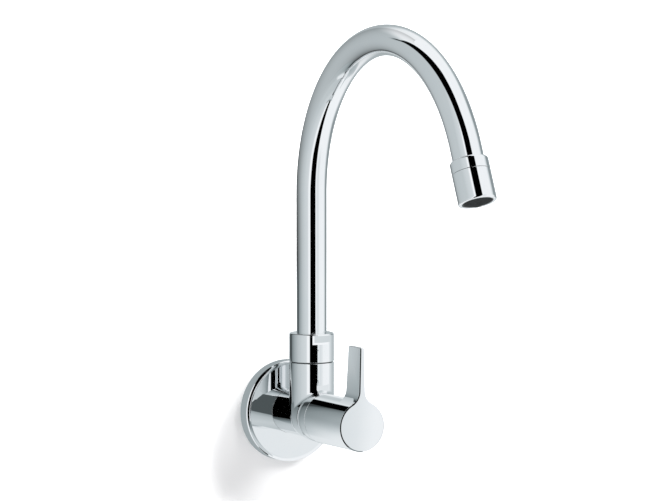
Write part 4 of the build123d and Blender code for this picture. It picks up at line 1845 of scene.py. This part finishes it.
@dataclass
class Backdrop:
    """White wall and floor, which the chrome doesn't mirror.

    The paper stays white to the camera, but for the faucet's shadow on the wall.
    """

    wall_gap: float = 0.3
    floor_level: float = -450.0
    spread: float = 3000.0
    paper: Point3 = (0.86, 0.86, 0.865)
    wall_white: float = 0.05
    shadow_middle: Point3 = (-0.022, 0.0, -0.032)
    shadow_reach: Point2 = (30.0, 75.0)

    def build(self) -> None:
        """Lays the wall and the floor."""
        back, low, far = self.wall_gap, self.floor_level, self.spread
        paper = self.material()
        floor = [Vector((x, y, low)) for x, y in ((-far, -far), (far, -far), (far, back), (-far, back))]
        for name, corners in (
            ("backdrop_wall", upright((-far, far), back, (low, far))),
            ("pale_floor", floor),
        ):
            made = sheet(name, [corners], paper)
            made.visible_glossy = False
            made.visible_shadow = False

    def material(self) -> bpy.types.Material:
        """Builds the paper.

        Returns:
            Material that is see-through from behind.
        """
        made, graph, where = new_material("backdrop_paper")
        paper = graph.add("ShaderNodeBsdfDiffuse", Color=(*self.paper, 1))
        camera = graph.add("ShaderNodeLightPath").outputs["Is Camera Ray"]
        reach = graph.add("ShaderNodeVectorMath", {"operation": "DISTANCE"})
        graph.feed(reach.inputs[0], where)
        graph.feed(reach.inputs[1], self.shadow_middle)
        white = graph.fade(reach.outputs["Value"], self.shadow_reach, (self.wall_white, 1.0))
        lift = graph.add("ShaderNodeEmission", Strength=graph.math("MULTIPLY", camera, white))
        lit = graph.add("ShaderNodeAddShader")
        graph.feed(lit.inputs[0], paper.outputs[0])
        graph.feed(lit.inputs[1], lift.outputs[0])
        one_sided(graph, lit.outputs[0])
        return made


@dataclass
class NearWall:
    """Painted reflection of the wall close behind the faucet, in mm, that only the chrome sees.

    A glowing sheet paints the wall's tones beside the faucet, with painted shade darkest beside
    the body and round the cover's rim, and paler low down; it fades out. A second sheet behind
    it is a filter that paints the faucet's shade on the wall higher up.
    """

    # Painted shade of the faucet on the wall: strongest close behind it, fading sideways, to the right,
    # above and far below.
    shade_gap: float = 0.30
    shade_spread: float = 600.0
    shade_reach: float = 57.0
    shade_low: Point2 = (-160.0, -30.0)
    shade_high: Point2 = (90.0, 270.0)
    shade_right: Point2 = (-5.0, 20.0)
    high_share: float = 0.35
    right_share: float = 0.25
    gap: float = 0.25
    across: Point2 = (-180.0, 140.0)
    up: Point2 = (-160.0, 120.0)
    # Painted shade in the wall's tones: paler low down, darker round the cover's rim, darkest close beside
    # the body in the tones below.
    low_tone: float = 0.86
    low: Point2 = (14.0, -72.0)
    rim_tone: float = 0.40
    rim: Point2 = (41.5, 45.0)
    top_edge: Point2 = (85.0, 115.0)
    left_edge: Point2 = (-170.0, -130.0)
    right_edge: Point2 = (90.0, 130.0)
    tones: Stops = (
        (-180, 0.55), (-128, 0.49), (-96, 0.45), (-76, 0.41), (-64, 0.35), (-52, 0.30), (-44, 0.22),
        (-38, 0.155), (-34, 0.05), (-22, 0.05), (-14, 0.50), (10, 0.62), (24, 0.48), (140, 0.56),
    )

    def build(self) -> None:
        """Hangs the shade and the wall's tones."""
        ends = (-self.shade_spread, self.shade_spread)
        for name, corners, material in (
            ("near_shade", upright(ends, self.shade_gap, ends), self.shade_material()),
            ("near_wall", upright(self.across, self.gap, self.up), self.painted_reflection_material()),
        ):
            mirrored_only(sheet(name, [corners], material))

    def shade_material(self) -> bpy.types.Material:
        """Builds the filter that paints the faucet's shade into mirrored rays.

        Returns:
            Transparent material whose painted shade is darkest on the wall close behind the faucet.
        """
        made, graph, where = new_material("near_wall_painted_shade")
        axes = graph.axes(where)
        reach = (self.shade_reach * MM) ** 2
        square = graph.math("MULTIPLY", axes["X"], axes["X"])
        far = graph.math("DIVIDE", reach, graph.math("ADD", square, reach))
        depth = graph.product(
            graph.fade(axes["Z"], self.shade_high, (1.0, self.high_share)),
            graph.fade(axes["X"], self.shade_right, (1.0, self.right_share)),
            graph.fade(axes["Z"], self.shade_low),
        )
        # Painted shade: the filter lets less of the surround through close behind the faucet.
        left = graph.math("SUBTRACT", 1.0, graph.math("MULTIPLY", far, depth))
        graph.end("ShaderNodeOutputMaterial", graph.add("ShaderNodeBsdfTransparent", Color=left).outputs[0])
        return made

    def painted_reflection_material(self) -> bpy.types.Material:
        """Builds the painted reflection of the wall beside the cover and the collar.

        Returns:
            Glowing material with painted shade, darkest beside the body and at the cover's rim, pale low
            down, that fades out.
        """
        made, graph, where = new_material("near_wall_painted_reflection")
        axes = graph.axes(where)
        left, right = self.across
        share = graph.math("SUBTRACT", axes["X"], left * MM)
        share = graph.math("DIVIDE", share, (right - left) * MM)
        tone = graph.tones(share, [((x - left) / (right - left), tone) for x, tone in self.tones])
        # Paler low down, below the painted shade.
        tone = graph.mix(graph.fade(axes["Z"], self.low), tone, grey(self.low_tone))
        # Painted shade round the cover's rim, by distance from the level axis.
        square = graph.math("MULTIPLY", axes["X"], axes["X"])
        square = graph.math("MULTIPLY_ADD", axes["Z"], axes["Z"], square)
        rim = graph.fade(graph.math("SQRT", square), self.rim, (1.0, 0.0))
        tone = graph.mix(rim, tone, grey(self.rim_tone))
        lit = glow(graph, tone)
        cover = graph.product(
            graph.fade(axes["Z"], self.top_edge, (1.0, 0.0)),
            graph.fade(axes["X"], self.left_edge),
            graph.fade(axes["X"], self.right_edge, (1.0, 0.0)),
        )
        clear = graph.add("ShaderNodeBsdfTransparent").outputs[0]
        graph.end("ShaderNodeOutputMaterial", graph.shaders(cover, clear, lit))
        return made


@dataclass(frozen=True)
class Card:
    """Glowing card in mm that only the chrome sees, see-through from behind: a painted reflection."""

    name: str
    faces: Faces

    def build(self) -> None:
        """Hangs the card."""
        made, graph, where = new_material(f"{self.name}_tones")
        one_sided(graph, glow(graph, self.tone(graph, graph.axes(where))))
        mirrored_only(sheet(self.name, self.faces, made))

    def tone(self, graph: Graph, place: Outputs) -> Socket:
        """Draws the card's tone from X, Y and Z and returns its socket."""
        raise NotImplementedError


@dataclass(frozen=True)
class FlatCard(Card):
    """Card whose tone goes from one to another between two places on an axis."""

    tones: Point2
    ends: Point2 = (0.0, 1.0)
    axis: Axis = Axis.Z

    def tone(self, graph: Graph, place: Outputs) -> Socket:
        """Fades along the axis."""
        return graph.fade(place[self.axis.value], self.ends, self.tones)


@dataclass(frozen=True)
class StripedCard(Card):
    """Card with stripes along the level axis, by angles round it from the right horizon."""

    tones: Stops

    def tone(self, graph: Graph, place: Outputs) -> Socket:
        """Runs through the stripes.

        Args:
            graph: The material's graph.
            place: X, Y and Z of the point.

        Returns:
            Socket of the tone.
        """
        turn = graph.math("ARCTAN2", graph.math("MULTIPLY", place["X"], -1.0), place["Z"])
        share = graph.math("MULTIPLY_ADD", turn, 1 / FULL_TURN, 0.25)
        return graph.tones(share, [(angle / 360, tone) for angle, tone in self.tones])


@dataclass
class CloseCards:
    """Glowing cards close to the faucet, in mm, that only the chrome sees: painted reflections
    that lay painted shade along its seams and painted highlights along its edges.
    """

    foot_out: float = -58.5
    foot_up: Point2 = (16.9, 23.0)
    foot_right: float = 16.0
    foot_middle: float = -4.3
    foot_left: float = -11.6
    front_out: float = -125.0
    front_low: float = -230.0
    front_middle: float = -58.0
    side_right: float = 60.0
    mitre: Stops = ((-42.9, 2.6), (-42.9, 14.5), (-30.0, 14.5), (-24.0, 12.4))
    hood_radius: float = 20.4
    hood_reach: Point2 = (-109.5, -57.0)
    hood_turns: Point2 = (30.0, 136.0)
    hood_steps: int = 24
    # Painted reflection on the hub: pale, then grey, then pale, then a black band.
    hood_tones: Stops = (
        (30, 0.9), (84, 0.9), (92, 0.62), (104, 0.60), (114, 0.80), (118.4, 0.80), (118.8, 0.0),
        (136, 0.0),
    )
    sleeve_side: float = -17.0
    sleeve_start: float = -10.15
    sleeve_radius: float = 16.45
    sleeve_ends: tuple[tuple[float, Point2], ...] = (
        (137, (-22.9, 11.95)), (150, (-32.8, 7.2)), (157.5, (-37.8, 4.85)), (165, (-42.9, 2.45)),
        (172, (-42.9, 1.1)), (180, (-42.9, -0.44)), (188, (-42.9, -1.98)), (200, (-42.9, -5.5)),
        (208, (-42.9, -7.3)), (215, (-42.9, -9.0)), (225, (-42.9, -10.7)), (235, (-42.9, -12.3)),
    )
    # Painted reflection beside the barrel: a dark band, then grey further round.
    sleeve_tones: Stops = (
        (137, 0.093), (187.5, 0.093), (188.5, 0.36), (196, 0.52), (210, 0.64), (235, 0.54),
    )
    bell_back: float = -39.2
    bell_outer: float = 22.0
    bell_inner: Point2 = (16.3, 16.65)
    bell_change: float = 183.0
    bell_turns: Point2 = (150.0, 250.0)
    bell_steps: int = 20
    # Painted reflection behind the bell: darkest at the upper left, paler further round.
    bell_tones: Stops = ((150, 0.20), (180, 0.34), (215, 0.60), (250, 0.75))
    # Painted highlight: a white strip round the collar's top.
    collar_painted_highlight: tuple[float, Point2, Point2] = (18.5, (-25.7, 25.0), (52.6, 60.0))
    strip_tones: Stops = ((0, 1.0), (360, 1.0))
    # Painted reflection round the collar, from grey to white.
    collar_card: tuple[float, Point2, Point2] = (18.4, (-20.5, 38.0), (54.1, 59.1))
    collar_tones: Stops = ((0, 0.64), (360, 1.0))
    collar_steps: int = 16

    def build(self) -> None:
        """Hangs the flat cards and then the round ones."""
        for card in (*self.flat_cards(), *self.round_cards()):
            card.build()

    def flat_cards(self) -> tuple[Card, ...]:
        """Lists the painted reflections at the lever's foot and the mitre, at the right, and low in front.

        Returns:
            The cards.
        """
        gap, pale = (self.foot_middle, self.foot_left), (self.foot_right, self.foot_middle)
        side = ((-15, -10), (-70, -10), (-70, 55.5), (-15, 55.5))
        front = upright((14, self.front_middle), self.front_out, (self.front_low, -26))
        left = upright((self.front_middle, -120), self.front_out, (self.front_low, -42))
        return (
            # Painted shade: a black card darkens the gap at the lever's foot, and a pale one beside it
            # paints light.
            FlatCard("foot_gap_painted_shade", [upright(gap, self.foot_out, self.foot_up)], (0.0, 0.0)),
            FlatCard("foot_card", [upright(pale, self.foot_out, self.foot_up)], (0.84, 0.84)),
            FlatCard("mitre_card", [sideways(self.sleeve_side, self.mitre)], (0.62, 0.62)),
            FlatCard("side_card", [sideways(self.side_right, side)], (0.80, 0.54), (-70, -36), Axis.Y),
            FlatCard("front_card", [front], (0.66, 0.24), (-88, -26)),
            FlatCard("front_card_left", [left], (0.62, 0.10), (-85, -42)),
        )

    def round_cards(self) -> tuple[Card, ...]:
        """Lists the painted reflections round the hub, the barrel, the bell and the collar.

        Returns:
            The cards.
        """
        return (
            StripedCard("hub_hood", self.hood(), self.hood_tones),
            StripedCard("barrel_sleeve", self.sleeve(), self.sleeve_tones),
            StripedCard("bell_card", self.behind_bell(), self.bell_tones),
            StripedCard("collar_painted_highlight", self.round_collar(*self.collar_painted_highlight), self.strip_tones),
            StripedCard("collar_card", self.round_collar(*self.collar_card), self.collar_tones),
        )

    def hood(self) -> Faces:
        """Faces of a curved card close over the lever's hub, facing the hub."""
        turns = spread(self.hood_turns, self.hood_steps)
        return between(*(level_arc(self.hood_radius, out, turns) for out in self.hood_reach))

    def sleeve(self) -> Faces:
        """Faces of a curved card close beside the inlet barrel, facing left."""
        near = level_arc(self.sleeve_radius, self.sleeve_start, [turn for turn, _ in self.sleeve_ends])
        return between(near, sideways(self.sleeve_side, [end for _, end in self.sleeve_ends]))

    def behind_bell(self) -> Faces:
        """Draws a ring-shaped card behind the bell, facing out of the wall.

        Returns:
            Its faces.
        """
        turns = spread(self.bell_turns, self.bell_steps)
        inner = []
        for turn in turns:
            radius = self.bell_inner[0 if turn < self.bell_change else 1]
            inner += level_arc(radius, self.bell_back, [turn])
        return between(level_arc(self.bell_outer, self.bell_back, turns), inner)

    def round_collar(self, radius: float, turns: Point2, up: Point2) -> Faces:
        """Draws a curved card close round the collar, facing it.

        Args:
            radius: Its radius.
            turns: Angles of its ends in degrees from straight out of the wall.
            up: Heights of its edges.

        Returns:
            Its faces.
        """
        rays = [math.radians(turn) for turn in spread(turns, self.collar_steps)]
        spots = [(radius * math.sin(ray), -SWIVEL_OFFSET - radius * math.cos(ray)) for ray in rays]
        low, high = ([Vector((x, y, height)) for x, y in spots] for height in up)
        return between(high, low)


@dataclass
class Surround:
    """What the chrome mirrors: pale screens all round, and one dark gap over the top.

    Azimuths are in degrees from straight out of the wall, positive to the right. The gap
    is an arch from the floor in front, over the faucet, to the wall's left.
    """

    ring: Stops = (
        (-180, 0.56), (-92, 0.60), (-80, 0.66), (-62, 0.71), (-55, 0.74), (-50, 0.97), (0, 0.95),
        (12, 0.84), (16, 0.77), (27, 0.84), (34, 0.94), (76, 0.955), (87, 0.76), (97, 0.30),
        (106, 0.29), (120, 0.40), (135, 0.47), (180, 0.52),
    )
    gap_left: Stops = (
        (-90, -0.10), (-64, -0.30), (-36, -0.53), (0, -0.63), (36, -0.52), (60, -0.54), (90, -0.56),
        (115, -0.55), (145, -0.515),
    )
    gap_right: Stops = (
        (-90, -0.06), (-64, -0.02), (-36, 0.0), (0, 0.03), (36, 0.12), (60, -0.02), (90, -0.08),
        (115, -0.28), (145, -0.48),
    )
    gap_end: Point2 = (150, 162)
    gap_edge: float = 0.012
    ceiling: float = 0.96
    ceiling_rise: Point2 = (0.42, 0.68)
    ceiling_side: Point2 = (-0.1, 0.0)
    room_light: float = 0.55

    def build(self) -> None:
        """Writes the world: white to the camera, the screens to gloss, plain light else."""
        world = bpy.data.worlds.new("studio_surround")
        bpy.context.scene.world = world
        world.use_nodes = True
        graph = Graph(world.node_tree)
        way = graph.axes(graph.add("ShaderNodeTexCoord").outputs["Generated"])
        out = graph.math("MULTIPLY", way["Y"], -1.0)
        mirrored = cool(graph, self.screens(graph, way["X"], out, way["Z"]))
        path = graph.add("ShaderNodeLightPath").outputs
        seen = graph.mix(path["Is Glossy Ray"], grey(self.room_light), mirrored)
        seen = graph.mix(path["Is Camera Ray"], seen, grey(1.0))
        light = graph.add("ShaderNodeBackground", Color=seen, Strength=1.0)
        graph.end("ShaderNodeOutputWorld", light.outputs[0])

    def screens(self, graph: Graph, side: Socket, out: Socket, up: Socket) -> Socket:
        """Draws the tone of the screens in a direction.

        Args:
            graph: The world's graph.
            side: How far the direction points right.
            out: How far it points out of the wall.
            up: How far it points up.

        Returns:
            Socket of the tone.
        """
        azimuth = graph.math("ARCTAN2", side, out)
        share = graph.math("MULTIPLY_ADD", azimuth, 1 / FULL_TURN, 0.5)
        ring = graph.tones(share, [((angle + 180) / 360, tone) for angle, tone in self.ring])
        turn = graph.math("MULTIPLY", graph.math("ARCTAN2", up, out), 180 / math.pi)
        past_left = graph.math("SUBTRACT", side, self.gap_side(graph, turn, self.gap_left))
        past_right = graph.math("SUBTRACT", side, self.gap_side(graph, turn, self.gap_right))
        inside = graph.product(
            graph.ramp(past_left, -self.gap_edge, self.gap_edge),
            graph.ramp(past_right, -self.gap_edge, self.gap_edge, (1.0, 0.0)),
            graph.ramp(turn, *self.gap_end, to=(1.0, 0.0)),
        )
        high = graph.product(
            graph.ramp(graph.math("ABSOLUTE", up), *self.ceiling_rise),
            graph.ramp(past_right, *self.ceiling_side),
        )
        ring = graph.mix(high, ring, grey(self.ceiling))
        return graph.mix(inside, ring, grey(0.0))

    @staticmethod
    def gap_side(graph: Graph, turn: Socket, side: Sequence[Point2]) -> Socket:
        """Draws one side of the dark gap.

        Args:
            graph: The world's graph.
            turn: Degrees from the front horizon over the zenith.
            side: Such degrees, and how far right the gap's side points there.

        Returns:
            Socket of how far right it points at the turn.
        """
        share = graph.math("MULTIPLY_ADD", turn, 1 / 360, 0.5)
        tone = graph.tones(share, [((angle + 180) / 360, (right + 1) / 2) for angle, right in side])
        return graph.math("MULTIPLY_ADD", tone, 2.0, -1.0)


@dataclass(frozen=True)
class Lamp:
    """Soft square lamp in metres and watts, aimed at the faucet and unseen in the chrome."""

    name: str
    place: Point3
    size: float
    watts: float
    aim: Point3 = (0.0, 0.0, 0.05)

    def build(self) -> None:
        """Hangs the lamp."""
        data = bpy.data.lights.new(self.name, "AREA")
        data.shape = "SQUARE"
        data.size = self.size
        data.energy = self.watts
        lamp = bpy.data.objects.new(self.name, data)
        lamp.location = self.place
        lamp.rotation_mode = "QUATERNION"
        lamp.rotation_quaternion = (Vector(self.aim) - Vector(self.place)).to_track_quat("-Z", "Y")
        lamp.visible_glossy = False
        lamp.visible_camera = False
        bpy.context.scene.collection.objects.link(lamp)


@dataclass
class Studio:
    """The stage round the faucet: camera, backdrop, what the chrome mirrors, and lamps."""

    key: Lamp = Lamp("key_light", (1.1, -1.6, 1.3), 0.9, 34.0)
    fill: Lamp = Lamp("fill_light", (-1.6, -1.2, 0.6), 1.4, 6.0)

    def build(self) -> None:
        """Sets up the whole studio."""
        for part in (PhotoCamera(), Backdrop(), NearWall(), CloseCards(), Surround(), self.key, self.fill):
            part.build()
            log.info("studio: %s is set up", type(part).__name__)


# ------------------------------------------------------------------------ carried over
def dress_nodes(frame: dict) -> None:
    """Gives every node that stays visible the finish of its own slot.
    """
    slots = {entry["node"]: Slot(entry["material_slot"]) for entry in frame["record"]["subparts"]}
    for name, node in sorted(frame["nodes"].items()):
        if node.hide_render:
            continue
        for entry in node.material_slots:
            entry.material = FINISHES[slots[name]].material()
        log.info("%s: keeps its shape, %s", name, slots[name].value)


def main() -> None:
    """Builds the faucet and its studio."""
    logging.basicConfig(level=logging.INFO, format="%(name)s %(message)s")
    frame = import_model()
    Studio().build()
    ValveBody().build(frame["nodes"]["valve_body"])
    for part in (WallFlange(), InletNipple(), Lever(), SwivelCollar(), Spout()):
        part.build()
    dress_nodes(frame)
    bpy.context.scene.view_settings.view_transform = "Standard"


if __name__ == "__main__":
    main()
